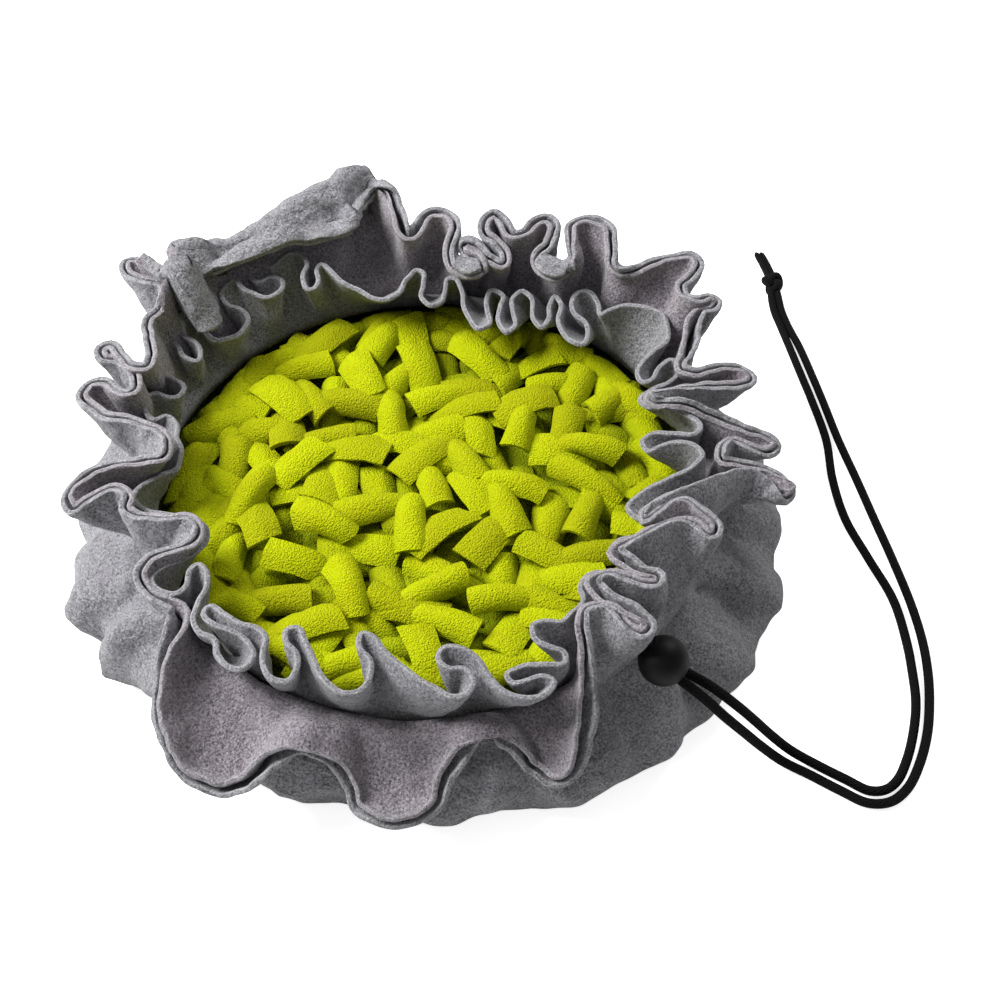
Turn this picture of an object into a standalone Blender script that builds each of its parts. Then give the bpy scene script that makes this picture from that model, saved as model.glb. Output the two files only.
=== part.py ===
"""Drawstring snuffle mat, modelled at its real size in metres, +Z up.

A fleece bag lies open as a bowl. Its two-ply rim stands above the drawn neck in deep
uneven folds, a single-ply frill stands inside the rim, and a bed of fleece strips fills
the middle. A ball cord lock sits at the neck with two ends of cord that share a knot.
The origin is on the floor under the middle of the bowl. Lengths in the tables are in mm.
"""

import math
import random

import bmesh
import bpy
import numpy as np

MM = 0.001

# Cloth
OUTER_THICKNESS = 1.9
LINING_THICKNESS = 1.9
FRILL_THICKNESS = 2.0
PLY_GAP = 0.6             # between the two plies of the rim, where they lie together
SEAM_GAP = 1.1            # between the frill's foot and the lining

# Neck: the ring at which the drawstring gathers the bag
NECK_CENTRE = (3.0, -7.0)
NECK_RADIUS = 122.0
CHANNEL_FOOT = 44.0        # heights between which the drawstring's channel stands upright
CHANNEL_TOP = 49.5
FRILL_FOOT_HEIGHT = 49.0
SAMPLES = 4               # points along the cloth for each row of a fold table
TURN_SETBACK = 0.2        # share of a fold's width that its two points lie behind its tip
LEAST_FOOT_STEP = 0.55    # closest two folds may start at the foot, as a share of the mean step
SHARPEST_MITRE = 0.8      # limit on how far a sharp turn pushes the cloth's faces out
RIM_STATIONS = (0.0, 0.45, 1.0)
FRILL_STATIONS = (0.0, 0.5, 1.0)

# Bag wall below the neck, from the floor up
WALL_PROFILE = (
    # inset from the fullest radius, share of the way in to the neck, height
    (78.0, 0.0, 0.0),
    (9.0, 0.0, 0.0),
    (2.0, 0.0, 6.0),
    (0.0, 0.0, 18.0),
    (0.0, 0.35, 32.0),
    (0.0, 0.8, 41.0),
)
# Fullest radius of the bag at the given angle
BAG_BULGE = (
    # angle, radius
    (0, 160), (30, 156), (60, 152), (90, 150), (120, 152), (150, 155), (180, 156), (205, 158),
    (218, 152), (230, 150), (255, 151), (270, 150), (283, 152), (295, 158), (305, 167),
    (332, 174), (346, 166),
)
GATHER_DEPTH = 5.0        # pleats that the drawstring presses into the shoulder
GATHER_WAVES = (13, 8)

# Rim edge, clockwise seen from above, starting at the front: one row for each fold
RIM_FOLDS = (
    # angle, radius, height, width, arch, parting
    (268, 163, 26, 24, 6, 0.8),
    (254.5, 145, 41, 14, 7, 1.2),
    (245.5, 166, 31, 12, 6, 0.8),
    (234, 160, 48, 20, 3, 0.5),
    (228, 130, 67, 10, 2, 1.5),
    (219, 138, 71, 13, 2, 0.5),
    (216, 107, 75, 10, 2, 0.5),
    (206, 125, 76, 8, 2, 0.5),
    (200, 128, 77, 10, 2, 1.0),
    (197, 150, 74, 11, 2, 1.0),
    (189, 106, 80, 12, 3, 0.5),
    (178, 146, 79, 12, 2, 0.5),
    (173.5, 120, 82, 9, 2, 0.5),
    (167, 146, 83, 11, 2, 0.5),
    (165, 121, 84, 9, 2, 0.5),
    (158, 130, 86, 9, 3, 0.5),
    (151, 132, 87, 9, 3, 0.5),
    (147.5, 163, 86, 11, 3, 0.5),
    (141, 142, 88, 13, 5, 0.5),
    (144.5, 110, 80, 11, 4, 0.5),
    (136, 118, 85, 9, 6, 0.5),
    (127, 121, 85, 19, 9, 0.5),
    (114, 117, 84, 15, 9, 0.8),
    (106, 124, 90, 9, 6, 1.5),
    (100, 140, 95, 13, 3, 1.5),
    (94, 107, 87, 11, 3, 0.5),
    (88, 126, 90, 11, 2, 0.5),
    (77, 94, 84, 12, 3, 0.5),
    (76, 129, 90, 10, 2, 0.5),
    (69, 115, 88, 10, 2, 0.5),
    (63, 131, 91, 11, 2, 0.5),
    (56, 105, 84, 13, 3, 0.5),
    (53.5, 140, 91, 15, 2, 0.5),
    (44, 123, 84, 15, 3, 0.5),
    (36, 157, 87, 11, 3, 0.5),
    (31, 138, 85, 9, 2, 0.5),
    (25, 152, 83, 10, 2, 0.5),
    (17, 121, 76, 12, 3, 1.5),
    (11, 149, 72, 11, 3, 0.5),
    (8, 107, 76, 9, 5, 0.5),
    (0.5, 157, 65, 10, 3, 1.0),
    (355.5, 133, 69, 7, 3, 0.5),
    (350.5, 163, 60, 11, 3, 1.2),
    (345, 137, 68, 9, 3, 0.5),
    (333, 107, 77, 10, 4, 0.5),
    (334, 138, 74, 10, 2, 0.5),
    (324, 112, 79, 9, 3, 0.5),
    (320, 133, 80, 10, 2, 0.5),
    (316, 108, 80, 9, 3, 0.5),
    (314, 136, 80, 9, 2, 0.5),
    (308, 111, 80, 9, 3, 0.5),
    (308, 144, 79, 10, 2, 0.5),
    (303.5, 125, 76, 7, 2, 0.5),
    (298, 139, 67, 12, 2, 1.0),
    (295.5, 154, 50, 13, 4, 1.2),
    (290.5, 161, 32, 13, 5, 0.8),
    (282, 141, 40, 16, 8, 1.2),
)

# Frill edge, clockwise as above
FRILL_FOLDS = (
    # angle, radius, height, width, arch
    (298, 114, 68, 9, 2),
    (290, 129, 66, 12, 2),
    (279, 113, 70, 9, 2),
    (277, 128, 66, 7, 1),
    (263, 110, 71, 8, 2),
    (260, 128.5, 68, 11, 1),
    (251, 113, 71, 7, 2),
    (249, 128, 68, 9, 1),
    (243, 116, 71, 7, 1),
    (239.5, 127, 69, 8, 1),
    (236, 115, 71, 7, 1),
    (232, 127, 68, 7, 1),
    (229, 110, 70, 7, 1),
    (223, 120, 67, 7, 1),
    (219, 103, 66, 7, 1),
    (212, 110, 64, 6, 1),
    (205, 102, 67, 7, 1),
    (199, 114, 66, 7, 1),
    (193.5, 103, 67, 7, 1),
    (188.5, 111, 65, 6, 1),
    (183, 101, 67, 7, 1),
    (178, 112, 66, 7, 1),
    (172, 100, 67, 7, 1),
    (166, 111, 66, 7, 1),
    (160, 99, 67, 7, 1),
    (153, 107, 63, 7, 1),
    (147, 96, 66, 8, 1),
    (140, 107, 68, 7, 1),
    (134, 96, 68, 7, 1),
    (127, 107, 70, 7, 1),
    (121, 93, 68, 8, 1),
    (114, 103, 70, 7, 1),
    (108, 84, 63, 8, 2),
    (101, 98, 68, 7, 1),
    (96, 84, 65, 8, 2),
    (90, 97, 68, 7, 1),
    (84, 81, 63, 8, 2),
    (78, 90, 66, 7, 1),
    (72, 78, 62, 8, 2),
    (66, 92, 67, 7, 1),
    (60, 79, 62, 8, 2),
    (54, 92, 66, 7, 1),
    (48, 84, 63, 8, 2),
    (42, 101, 68, 7, 1),
    (35, 92, 65, 8, 2),
    (28, 110, 68, 8, 1),
    (20, 97, 66, 8, 1),
    (13, 109, 66, 7, 1),
    (6, 94, 66, 7, 1),
    (359, 111, 66, 8, 1),
    (352, 95, 65, 7, 1),
    (345, 111, 66, 8, 1),
    (338, 98, 66, 7, 1),
    (332, 108, 64, 7, 1),
    (326, 100, 66, 7, 1),
    (319, 110, 64, 7, 1),
    (312, 102, 67, 7, 1),
    (305, 114, 66, 7, 1),
)

# Bed of strips: a lumpy slab that fills the bag out to its wall
BED_PROFILE = (
    # inset from the bag's fullest radius, height
    (18.0, 2.7),
    (8.0, 8.0),
    (8.0, 17.0),
    (16.0, 24.0),
    (36.0, 30.0),
)
BED_TOP = 39.0
BED_DOME = (
    # radius round the field's centre, height
    (111.0, 35.0),
    (99.0, BED_TOP),
)
BED_POINTS = 44
BED_LUMPS = 1.5
STRIP_FIELD_CENTRE = (-1.0, -6.0)
STRIP_COUNT = 118
STRIP_FIELD_RADIUS = 97.0
STRIP_WIDTH = 11.5
STRIP_THICKNESS = 4.4
STRIP_ROOT_DEPTH = 3.0
STRIP_HEIGHTS = (46.0, 53.0)
STRIP_LEAN = (4.0, 9.0)
STRIP_CLEARANCE = 0.9
STRIP_SEED = 11

# Cord lock, cord and knot
LOCK_RADIUS = 10.4
LOCK_CENTRE = (96.6, -109.9, 57.0)
LOCK_OUTLET = (0.75, -0.35, -0.55)
LOCK_FACE_RADIUS = 4.6    # the ball is cut flat no smaller than this, at the button and the outlet
LOCK_BUTTON = (
    # radius, height above the ball's top
    (3.6, 1.6),
    (4.2, 0.9),
    (4.2, -0.6),
)
CORD_DIAMETER = 4.0
CORD_POINT_SPACING = 10.0
# Routes of the two strands: out of the lock, down past the bulge of the bag, along the
# floor in one long loop and up to the knot
NEAR_STRAND = (
    # x, y, z
    (103.2, -115.4, 51.8), (113, -121, 46.5), (121, -124, 39), (130, -124.5, 28),
    (139, -124, 16), (149, -125, 6), (160, -129, 2.3), (171, -136, 2.3), (181, -141.5, 2.3),
    (190, -141, 2.3), (198, -135, 2.3), (205, -124, 2.3), (211, -110, 2.3), (215, -95, 2.3),
    (217.5, -80, 2.3), (218.5, -64, 2.3), (217.5, -44, 2.3), (214, -18, 2.3), (210, 6, 2.3),
    (206, 31, 2.3), (201.5, 57, 2.3), (198.2, 83, 2.3), (195.5, 102, 2.3), (192, 124, 2.3),
    (189, 140, 2.3), (186.9, 152, 3), (186.4, 163.5, 4.2),
)
FAR_STRAND = (
    # x, y, z
    (104.7, -111.2, 51.4), (116.5, -115.5, 46), (127, -119, 38), (135.5, -119, 27),
    (144, -118.5, 15), (153, -120, 6), (163.5, -124.5, 2.3), (174, -131, 2.3),
    (182.5, -136, 2.3), (189, -135.6, 2.3), (194.5, -131.5, 2.3), (200.5, -121.5, 2.3),
    (206, -107.5, 2.3), (209.5, -94, 2.3), (211, -78, 2.3), (211.5, -64, 2.3),
    (210, -41, 2.3), (203, -17, 2.3), (196.5, 6, 2.3), (194.5, 31, 2.3), (195.5, 57, 2.3),
    (192.5, 85, 2.3), (190, 102, 2.3), (186.8, 124, 2.3), (184.2, 140, 2.3),
    (182.1, 152, 3), (181.6, 163.5, 4.2),
)
KNOT_CENTRE = (183.8, 171.2, 5.3)
KNOT_SIZE = (5.8, 7.2, 5.0)
TAIL_ROUTE = ((184, 175, 4.8), (183.5, 183, 3.3), (182.3, 192, 2.4), (180, 202.5, 2.4))
TAIL_DIAMETER = 4.4

# Finishes
FINISHES = {
    # node: base colour, roughness
    "outer_cloth": ((0.20, 0.20, 0.215), 0.95),
    "lining_cloth": ((0.23, 0.215, 0.235), 0.95),
    "inner_frill": ((0.21, 0.20, 0.22), 0.95),
    "strip_field": ((0.55, 0.66, 0.01), 0.9),
    "cord_lock": ((0.006, 0.006, 0.007), 0.4),
    "drawcord_near": ((0.008, 0.008, 0.009), 0.75),
    "drawcord_far": ((0.008, 0.008, 0.009), 0.75),
    "cord_knot": ((0.008, 0.008, 0.009), 0.75),
}


def clear_scene():
    for thing in list(bpy.data.objects):
        bpy.data.objects.remove(thing)


def finish(thing):
    """Give an object the material named after it."""
    colour, roughness = FINISHES[thing.name]
    material = bpy.data.materials.new(thing.name)
    material.use_nodes = True
    shader = material.node_tree.nodes["Principled BSDF"]
    shader.inputs["Base Color"].default_value = (*colour, 1.0)
    shader.inputs["Roughness"].default_value = roughness
    thing.data.materials.append(material)


def solid_object(name, points, faces):
    """Link one closed body, its faces turned outwards, given in mm."""
    mesh = bpy.data.meshes.new(name)
    mesh.from_pydata([tuple(float(value) * MM for value in point) for point in points], [], faces)
    shell = bmesh.new()
    shell.from_mesh(mesh)
    bmesh.ops.recalc_face_normals(shell, faces=shell.faces)
    shell.to_mesh(mesh)
    shell.free()
    mesh.shade_smooth()
    thing = bpy.data.objects.new(name, mesh)
    bpy.context.collection.objects.link(thing)
    return thing


def polar(angle, radius):
    return np.stack([radius * np.cos(angle), radius * np.sin(angle)], axis=-1)


def unit(vectors):
    return vectors / np.maximum(np.linalg.norm(vectors, axis=-1, keepdims=True), 1e-9)


def smooth_loop(points, steps):
    """Closed centripetal Catmull-Rom curve through the points, with steps samples from each."""
    before, start, end, after = (np.roll(points, shift, axis=0) for shift in (1, 0, -1, -2))
    knots = [np.zeros((len(points), 1))]
    for first, second in ((before, start), (start, end), (end, after)):
        gap = np.sqrt(np.linalg.norm(second - first, axis=1, keepdims=True))
        knots.append(knots[-1] + np.maximum(gap, 1e-6))
    k0, k1, k2, k3 = knots
    samples = []
    for step in range(steps):
        t = k1 + (k2 - k1) * step / steps
        a1 = (k1 - t) / (k1 - k0) * before + (t - k0) / (k1 - k0) * start
        a2 = (k2 - t) / (k2 - k1) * start + (t - k1) / (k2 - k1) * end
        a3 = (k3 - t) / (k3 - k2) * end + (t - k2) / (k3 - k2) * after
        b1 = (k2 - t) / (k2 - k0) * a1 + (t - k0) / (k2 - k0) * a2
        b2 = (k3 - t) / (k3 - k1) * a2 + (t - k1) / (k3 - k1) * a3
        samples.append((k2 - t) / (k2 - k1) * b1 + (t - k1) / (k2 - k1) * b2)
    return np.stack(samples, axis=1).reshape(-1, points.shape[1])


def fold_edge(folds):
    """Edge of a folded cloth: each fold turns through two points as far apart as its width."""
    table = np.array(folds, float)
    tips = np.column_stack([polar(np.radians(table[:, 0]), table[:, 1]), table[:, 2]])
    width = table[:, 3:4]
    earlier = np.roll(tips, 1, axis=0)
    later = np.roll(tips, -1, axis=0)
    along = unit((later - earlier) * (1, 1, 0))
    depth = unit((tips - (earlier + later) / 2) * (1, 1, 0))
    turns = np.stack([tips - along * width / 2, tips + along * width / 2], axis=1)
    turns -= (depth * width * TURN_SETBACK)[:, None, :]
    return smooth_loop(turns.reshape(-1, 3), SAMPLES // 2)


def sample_positions(folds):
    """Place of every sample, counted in rows: a fold's two points lie a quarter row either
    side of it."""
    return np.arange(len(folds) * SAMPLES) / SAMPLES - 0.25


def foot_angles(folds):
    """Where the cloth under each fold leaves the neck: the folds' own angles, evened out
    until they run one way round."""
    angles = np.unwrap(np.radians([row[0] for row in folds]))
    steps = -np.diff(angles, append=angles[0] - 2 * math.pi)
    while steps.min() < LEAST_FOOT_STEP * steps.mean():
        steps = (np.roll(steps, 1) + 2 * steps + np.roll(steps, -1)) / 4
    rows = np.concatenate([[0.0], -np.cumsum(steps)]) + angles[0]
    whole = np.arange(-1, len(folds) + 2)
    turn = np.concatenate([[rows[0] + steps[-1]], rows, [rows[-1] - steps[0]]])
    return np.interp(sample_positions(folds), whole, turn)


def along_samples(folds, column):
    """A column of a fold table, eased from fold to fold at every sample."""
    values = [row[column] for row in folds]
    return np.interp(sample_positions(folds), np.arange(-1, len(folds) + 1), [values[-1], *values, values[0]])


def neck_ring(angles, inset, height):
    """Points of the neck's circle, in the directions given from the origin."""
    ring = polar(angles, NECK_RADIUS - inset) + NECK_CENTRE
    return np.column_stack([ring, np.full(len(angles), height)])


def folded_surface(folds, foot, stations):
    """Rings of points from the cloth's foot to its folded edge, arched between the two."""
    edge = fold_edge(folds)
    arch = along_samples(folds, 4)[:, None]
    outward = unit((foot - (*NECK_CENTRE, 0.0)) * (1, 1, 0))
    lift = unit(outward + (0.0, 0.0, 1.0))
    return [foot + (edge - foot) * v + lift * arch * 4 * v * (1 - v) for v in stations]


def normals(rings):
    """Directions out of the bowl at every point of a stack of equal rings, longer at
    sharp turns so that a cloth offset along them keeps its thickness."""
    stack = np.stack(rings)
    climb = unit(np.diff(stack, axis=0))
    up = np.concatenate([climb[:1], climb]) + np.concatenate([climb, climb[-1:]])
    run = unit(np.roll(stack, -1, axis=1) - stack)
    along = run + np.roll(run, 1, axis=1)
    straightness = np.linalg.norm(up, axis=-1) * np.linalg.norm(along, axis=-1) / 4
    return list(unit(np.cross(up, along)) / np.maximum(straightness, SHARPEST_MITRE)[..., None])


def bag_bulge(angles):
    """Fullest radius of the bag at each angle."""
    table = np.array(BAG_BULGE, float)
    return np.interp(np.degrees(angles) % 360, table[:, 0], table[:, 1], period=360)


def wall_rings(angles):
    """Rings of the bag's outside from the floor to the shoulder, pleated towards the neck."""
    bulge = bag_bulge(angles)
    first, second = GATHER_WAVES
    pleat = GATHER_DEPTH * (0.6 * np.sin(first * angles) + 0.4 * np.sin(second * angles + 1.0))
    rings = []
    for inset, share, height in WALL_PROFILE:
        ring = np.column_stack([polar(angles, bulge - inset + pleat * height / CHANNEL_FOOT),
                                np.full(len(angles), height)])
        rings.append(ring * (1 - share) + neck_ring(angles, 0.0, height) * share)
    return rings


def band(lower, upper):
    """Triangles between two closed rings of indices, where one may have several times
    the points of the other."""
    if len(lower) > len(upper):
        return [face[::-1] for face in band(upper, lower)]
    ratio = len(upper) // len(lower)
    faces = []
    for i, a in enumerate(lower):
        b = lower[(i + 1) % len(lower)]
        fan = [upper[(i * ratio + k) % len(upper)] for k in range(ratio + 1)]
        half = (ratio + 1) // 2
        faces += [(a, fan[k], fan[k + 1]) for k in range(half)]
        faces.append((a, fan[half], b))
        faces += [(b, fan[k], fan[k + 1]) for k in range(half, ratio)]
    return faces


def sheet_body(name, outside, inside, capped):
    """Closed body of a ring-shaped cloth from its outer and inner rings. A capped sheet
    has a bottom across its first ring, and an open one a foot as narrow as its edge."""
    points = np.concatenate(outside + inside)
    rings = []
    first = 0
    for ring in outside + inside:
        rings.append(list(range(first, first + len(ring))))
        first += len(ring)
    count = len(outside)
    faces = []
    for layer in (rings[:count], rings[count:]):
        for lower, upper in zip(layer, layer[1:]):
            faces += band(lower, upper)
    faces += band(rings[count - 1], rings[-1])
    if capped:
        for ring in (rings[0], rings[count]):
            middle = points[ring].mean(axis=0)
            points = np.vstack([points, middle])
            hub = len(points) - 1
            faces += [(hub, a, b) for a, b in zip(ring, ring[1:] + ring[:1])]
    else:
        faces += band(rings[0], rings[count])
    return solid_object(name, points, faces)


def rim_plies():
    """The four faces of the two-ply rim: outside and inside of the outer cloth, then of
    the lining."""
    angles = foot_angles(RIM_FOLDS)
    foot = neck_ring(angles, 0.0, CHANNEL_TOP)
    middle = [neck_ring(angles, 0.0, CHANNEL_FOOT)] + folded_surface(RIM_FOLDS, foot, RIM_STATIONS)
    facing = normals(middle)
    parting = along_samples(RIM_FOLDS, 5)[:, None]
    faces = []
    for side, thickness in ((1, OUTER_THICKNESS), (-1, LINING_THICKNESS)):
        near = []
        far = []
        for ring, normal, v in zip(middle, facing, (0.0, *RIM_STATIONS)):
            gap = (PLY_GAP + parting * v ** 3) / 2
            near.append(ring + normal * side * gap)
            far.append(ring + normal * side * (gap + thickness))
        near[0] = near[0][::SAMPLES]
        far[0] = far[0][::SAMPLES]
        faces.append((near, far))
    return faces


def make_outer_cloth(near, far):
    """Bag and outer ply of the rim as one cloth, with a flat bottom on the floor."""
    angles = foot_angles(RIM_FOLDS)[::SAMPLES]
    outside = wall_rings(angles)
    inside = [ring - normal * OUTER_THICKNESS for ring, normal in zip(outside, normals(outside))]
    return sheet_body("outer_cloth", outside + far, inside + near, capped=True)


def make_lining(near, far):
    """Second ply of the rim, from the seam at the neck to the edge."""
    return sheet_body("lining_cloth", near, far, capped=False)


def make_frill():
    """Single-ply frill sewn round the inside of the neck."""
    half = FRILL_THICKNESS / 2
    inset = PLY_GAP / 2 + LINING_THICKNESS + SEAM_GAP + half
    foot = neck_ring(foot_angles(FRILL_FOLDS), inset, FRILL_FOOT_HEIGHT)
    middle = folded_surface(FRILL_FOLDS, foot, FRILL_STATIONS)
    facing = normals(middle)
    outside = [ring + normal * half for ring, normal in zip(middle, facing)]
    inside = [ring - normal * half for ring, normal in zip(middle, facing)]
    return sheet_body("inner_frill", outside, inside, capped=False)


def strip_spine(root, heading, lean, top):
    """Three points of a standing strip, from its root in the bed to its bent-over top."""
    foot = np.array([*root, BED_TOP - STRIP_ROOT_DEPTH])
    away = np.array([math.cos(heading), math.sin(heading), 0.0])
    middle = np.array([*root, 0.0]) + away * lean * 0.25
    middle[2] = BED_TOP + (top - BED_TOP) * 0.55
    end = np.array([*root, 0.0]) + away * lean
    end[2] = top
    return np.array([foot, middle, end])


def strip_corners(spine, heading):
    """Rings of four corners along a strip, whose flat side faces its heading."""
    away = np.array([math.cos(heading), math.sin(heading), 0.0])
    side = np.array([-away[1], away[0], 0.0]) * STRIP_WIDTH / 2
    front = away * STRIP_THICKNESS / 2
    return [[point - side - front, point + side - front, point + side + front, point - side + front]
            for point in spine]


def strip_section(corners, height):
    """The four corners of a strip where a level plane cuts it."""
    rings = np.array(corners)
    levels = rings[:, 0, 2]
    return np.array([[np.interp(height, levels, rings[:, corner, axis]) for axis in range(2)]
                     for corner in range(4)])


def strips_apart(corners, others):
    """True if a strip stays clear of the strips made so far at every height."""
    for height in np.linspace(BED_TOP, STRIP_HEIGHTS[1], 6):
        section = strip_section(corners, height)
        for other in others:
            if separation(section, strip_section(other, height)) < STRIP_CLEARANCE:
                return False
    return True


def separation(first, second):
    """Widest gap between two rectangles along any of their sides' directions."""
    widest = -math.inf
    for shape in (first, second):
        for i in range(2):
            side = shape[i + 1] - shape[i]
            axis = np.array([-side[1], side[0]]) / np.linalg.norm(side)
            low, high = (first @ axis), (second @ axis)
            widest = max(widest, high.min() - low.max(), low.min() - high.max())
    return widest


def standing_strips():
    """Strips spread over the bed on a sunflower spiral, each turned its own way."""
    chance = random.Random(STRIP_SEED)
    golden = math.pi * (3 - math.sqrt(5))
    placed = []
    for i in range(STRIP_COUNT):
        reach = STRIP_FIELD_RADIUS * math.sqrt((i + 0.5) / STRIP_COUNT)
        root = np.array(STRIP_FIELD_CENTRE) + polar(np.array(i * golden), reach)
        for _ in range(60):
            heading = chance.uniform(0, 2 * math.pi)
            lean = chance.uniform(*STRIP_LEAN)
            top = chance.uniform(*STRIP_HEIGHTS)
            corners = strip_corners(strip_spine(root, heading, lean, top), heading)
            if strips_apart(corners, placed):
                placed.append(corners)
                break
    return placed


def make_strip_field():
    """Lumpy bed with its strips standing on it, fused at their roots."""
    angles = np.linspace(0, 2 * math.pi, BED_POINTS, endpoint=False)
    lump = BED_LUMPS * np.sin(7 * angles)
    points = []
    rings = []
    outlines = [(polar(angles, bag_bulge(angles) - inset + lump), height)
                for inset, height in BED_PROFILE]
    outlines += [(polar(angles, radius + lump) + STRIP_FIELD_CENTRE, height)
                 for radius, height in BED_DOME]
    for ring, height in outlines:
        rings.append(list(range(len(points), len(points) + len(angles))))
        points += [(*point, height) for point in ring]
    faces = []
    for lower, upper in zip(rings, rings[1:]):
        faces += band(lower, upper)
    faces += [tuple(rings[0][::-1]), tuple(rings[-1])]
    bed = solid_object("strip_field", points, faces)

    points = []
    faces = []
    for corners in standing_strips():
        first = len(points)
        points += [corner for ring in corners for corner in ring]
        for level in range(len(corners) - 1):
            lower = [first + 4 * level + k for k in range(4)]
            upper = [index + 4 for index in lower]
            faces += band(lower, upper)
        faces += [tuple(range(first + 3, first - 1, -1)), tuple(range(len(points) - 4, len(points)))]
    strips = solid_object("strips", points, faces)
    join = bed.modifiers.new("strips", "BOOLEAN")
    join.operation = "UNION"
    join.object = strips
    strips.hide_render = True
    strips.display_type = "WIRE"
    return bed


def make_lock():
    """Ball cord lock: a ball with a flat collar where the cord leaves and a push button."""
    steps = 12
    count = 18
    turns = [math.pi * k / steps for k in range(1, steps)]
    ball = [(LOCK_RADIUS * math.sin(turn), LOCK_RADIUS * math.cos(turn)) for turn in turns]
    outline = [(radius, LOCK_RADIUS + rise) for radius, rise in LOCK_BUTTON]
    outline += [point for point in ball if point[0] > LOCK_FACE_RADIUS]
    angles = np.linspace(0, 2 * math.pi, count, endpoint=False)
    points = []
    rings = []
    for radius, height in outline:
        rings.append(list(range(len(points), len(points) + count)))
        points += [(*spot, height) for spot in polar(angles, radius)]
    faces = []
    for lower, upper in zip(rings, rings[1:]):
        faces += band(lower, upper)
    faces += [tuple(rings[0][::-1]), tuple(rings[-1])]
    axis = -unit(np.array(LOCK_OUTLET))
    side = unit(np.cross(axis, (0.0, 0.0, 1.0)))
    third = np.cross(axis, side)
    placed = [np.array(LOCK_CENTRE) + x * side + y * third + z * axis for x, y, z in points]
    return solid_object("cord_lock", placed, faces)


def smooth_route(points, spacing):
    """Points about as far apart as the spacing along a smooth curve through a route."""
    route = np.array(points, float)
    padded = np.vstack([2 * route[0] - route[1], route, 2 * route[-1] - route[-2]])
    closed = smooth_loop(padded, 12)
    fine = closed[12:12 * (len(padded) - 2) + 1]
    run = np.concatenate([[0.0], np.cumsum(np.linalg.norm(np.diff(fine, axis=0), axis=1))])
    count = max(2, round(run[-1] / spacing) + 1)
    marks = np.linspace(0, run[-1], count)
    return np.column_stack([np.interp(marks, run, fine[:, k]) for k in range(3)])


def make_cord(name, route, diameter):
    """Round cord along a route: one open curve with filled ends."""
    curve = bpy.data.curves.new(name, "CURVE")
    curve.dimensions = "3D"
    curve.bevel_depth = diameter / 2 * MM
    curve.bevel_resolution = 2
    curve.use_fill_caps = True
    spline = curve.splines.new("POLY")
    points = smooth_route(route, CORD_POINT_SPACING)
    spline.points.add(len(points) - 1)
    for target, point in zip(spline.points, points):
        target.co = (*(float(value) * MM for value in point), 1.0)
    thing = bpy.data.objects.new(name, curve)
    bpy.context.collection.objects.link(thing)
    return thing


def make_knot():
    """Overhand knot that holds both strands, with its short tail."""
    bpy.ops.mesh.primitive_uv_sphere_add(segments=14, ring_count=9, radius=1.0)
    knot = bpy.context.active_object
    knot.name = "cord_knot"
    for vertex in knot.data.vertices:
        x, y, z = vertex.co
        ridge = 1.0 + 0.1 * math.sin(2 * math.atan2(z, x) + 3.0 * y)
        vertex.co = [(centre + size * value * ridge) * MM
                     for centre, size, value in zip(KNOT_CENTRE, KNOT_SIZE, (x, y, z))]
    tail = make_cord("tail", TAIL_ROUTE, TAIL_DIAMETER)
    tail.hide_render = True
    tail.display_type = "WIRE"
    graph = bpy.context.evaluated_depsgraph_get()
    mesh = bpy.data.meshes.new_from_object(tail.evaluated_get(graph))
    guide = bpy.data.objects.new("tail_solid", mesh)
    bpy.context.collection.objects.link(guide)
    guide.hide_render = True
    guide.display_type = "WIRE"
    bpy.data.objects.remove(tail)
    join = knot.modifiers.new("tail", "BOOLEAN")
    join.operation = "UNION"
    join.object = guide
    return knot


def main():
    clear_scene()
    outer, lining = rim_plies()
    made = [
        make_outer_cloth(*outer),
        make_lining(*lining),
        make_frill(),
        make_strip_field(),
        make_lock(),
        make_cord("drawcord_near", NEAR_STRAND, CORD_DIAMETER),
        make_cord("drawcord_far", FAR_STRAND, CORD_DIAMETER),
        make_knot(),
    ]
    for thing in made:
        finish(thing)


main()
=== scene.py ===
"""Looks of a drawstring snuffle mat: fleece, cord and plastic over its fixed frame.

The bag, the rim's lining and the frill are lofted from the neck to the folded edges listed
below, with rounded cut edges, gathers, creases and a soft unevenness. The strips, the cord
and its knot and lock are made piece by piece. Lists are in mm, and angles are in degrees,
seen from above.
"""

import math
import random
from collections import namedtuple

import bmesh
import bpy
import numpy as np
from bpy.props import FloatProperty, FloatVectorProperty, IntProperty, PointerProperty
from bpy.types import Operator, Panel, PropertyGroup
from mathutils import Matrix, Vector


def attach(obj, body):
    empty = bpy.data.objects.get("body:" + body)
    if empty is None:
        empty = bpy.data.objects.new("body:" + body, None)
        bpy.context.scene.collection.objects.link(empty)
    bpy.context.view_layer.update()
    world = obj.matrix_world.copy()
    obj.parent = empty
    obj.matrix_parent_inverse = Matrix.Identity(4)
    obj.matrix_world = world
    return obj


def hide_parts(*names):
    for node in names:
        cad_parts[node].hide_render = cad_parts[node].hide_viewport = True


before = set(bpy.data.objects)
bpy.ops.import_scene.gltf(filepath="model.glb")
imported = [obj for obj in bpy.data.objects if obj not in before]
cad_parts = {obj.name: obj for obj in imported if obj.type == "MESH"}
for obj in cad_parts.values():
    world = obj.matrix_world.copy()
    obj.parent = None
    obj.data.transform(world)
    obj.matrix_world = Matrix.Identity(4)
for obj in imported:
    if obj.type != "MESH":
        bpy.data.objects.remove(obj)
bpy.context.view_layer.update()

bl_info = {
    "name": "Snuffle mat",
    "version": (1, 0, 0),
    "blender": (4, 5, 0),
    "location": "3D View > Sidebar > Snuffle mat",
    "description": "Fleece, strips, cord and cord lock of a drawstring snuffle mat",
    "category": "Object",
}

MM = 0.001
# Samples from one point of a curve to the next
CURVE_STEPS = 12

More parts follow.
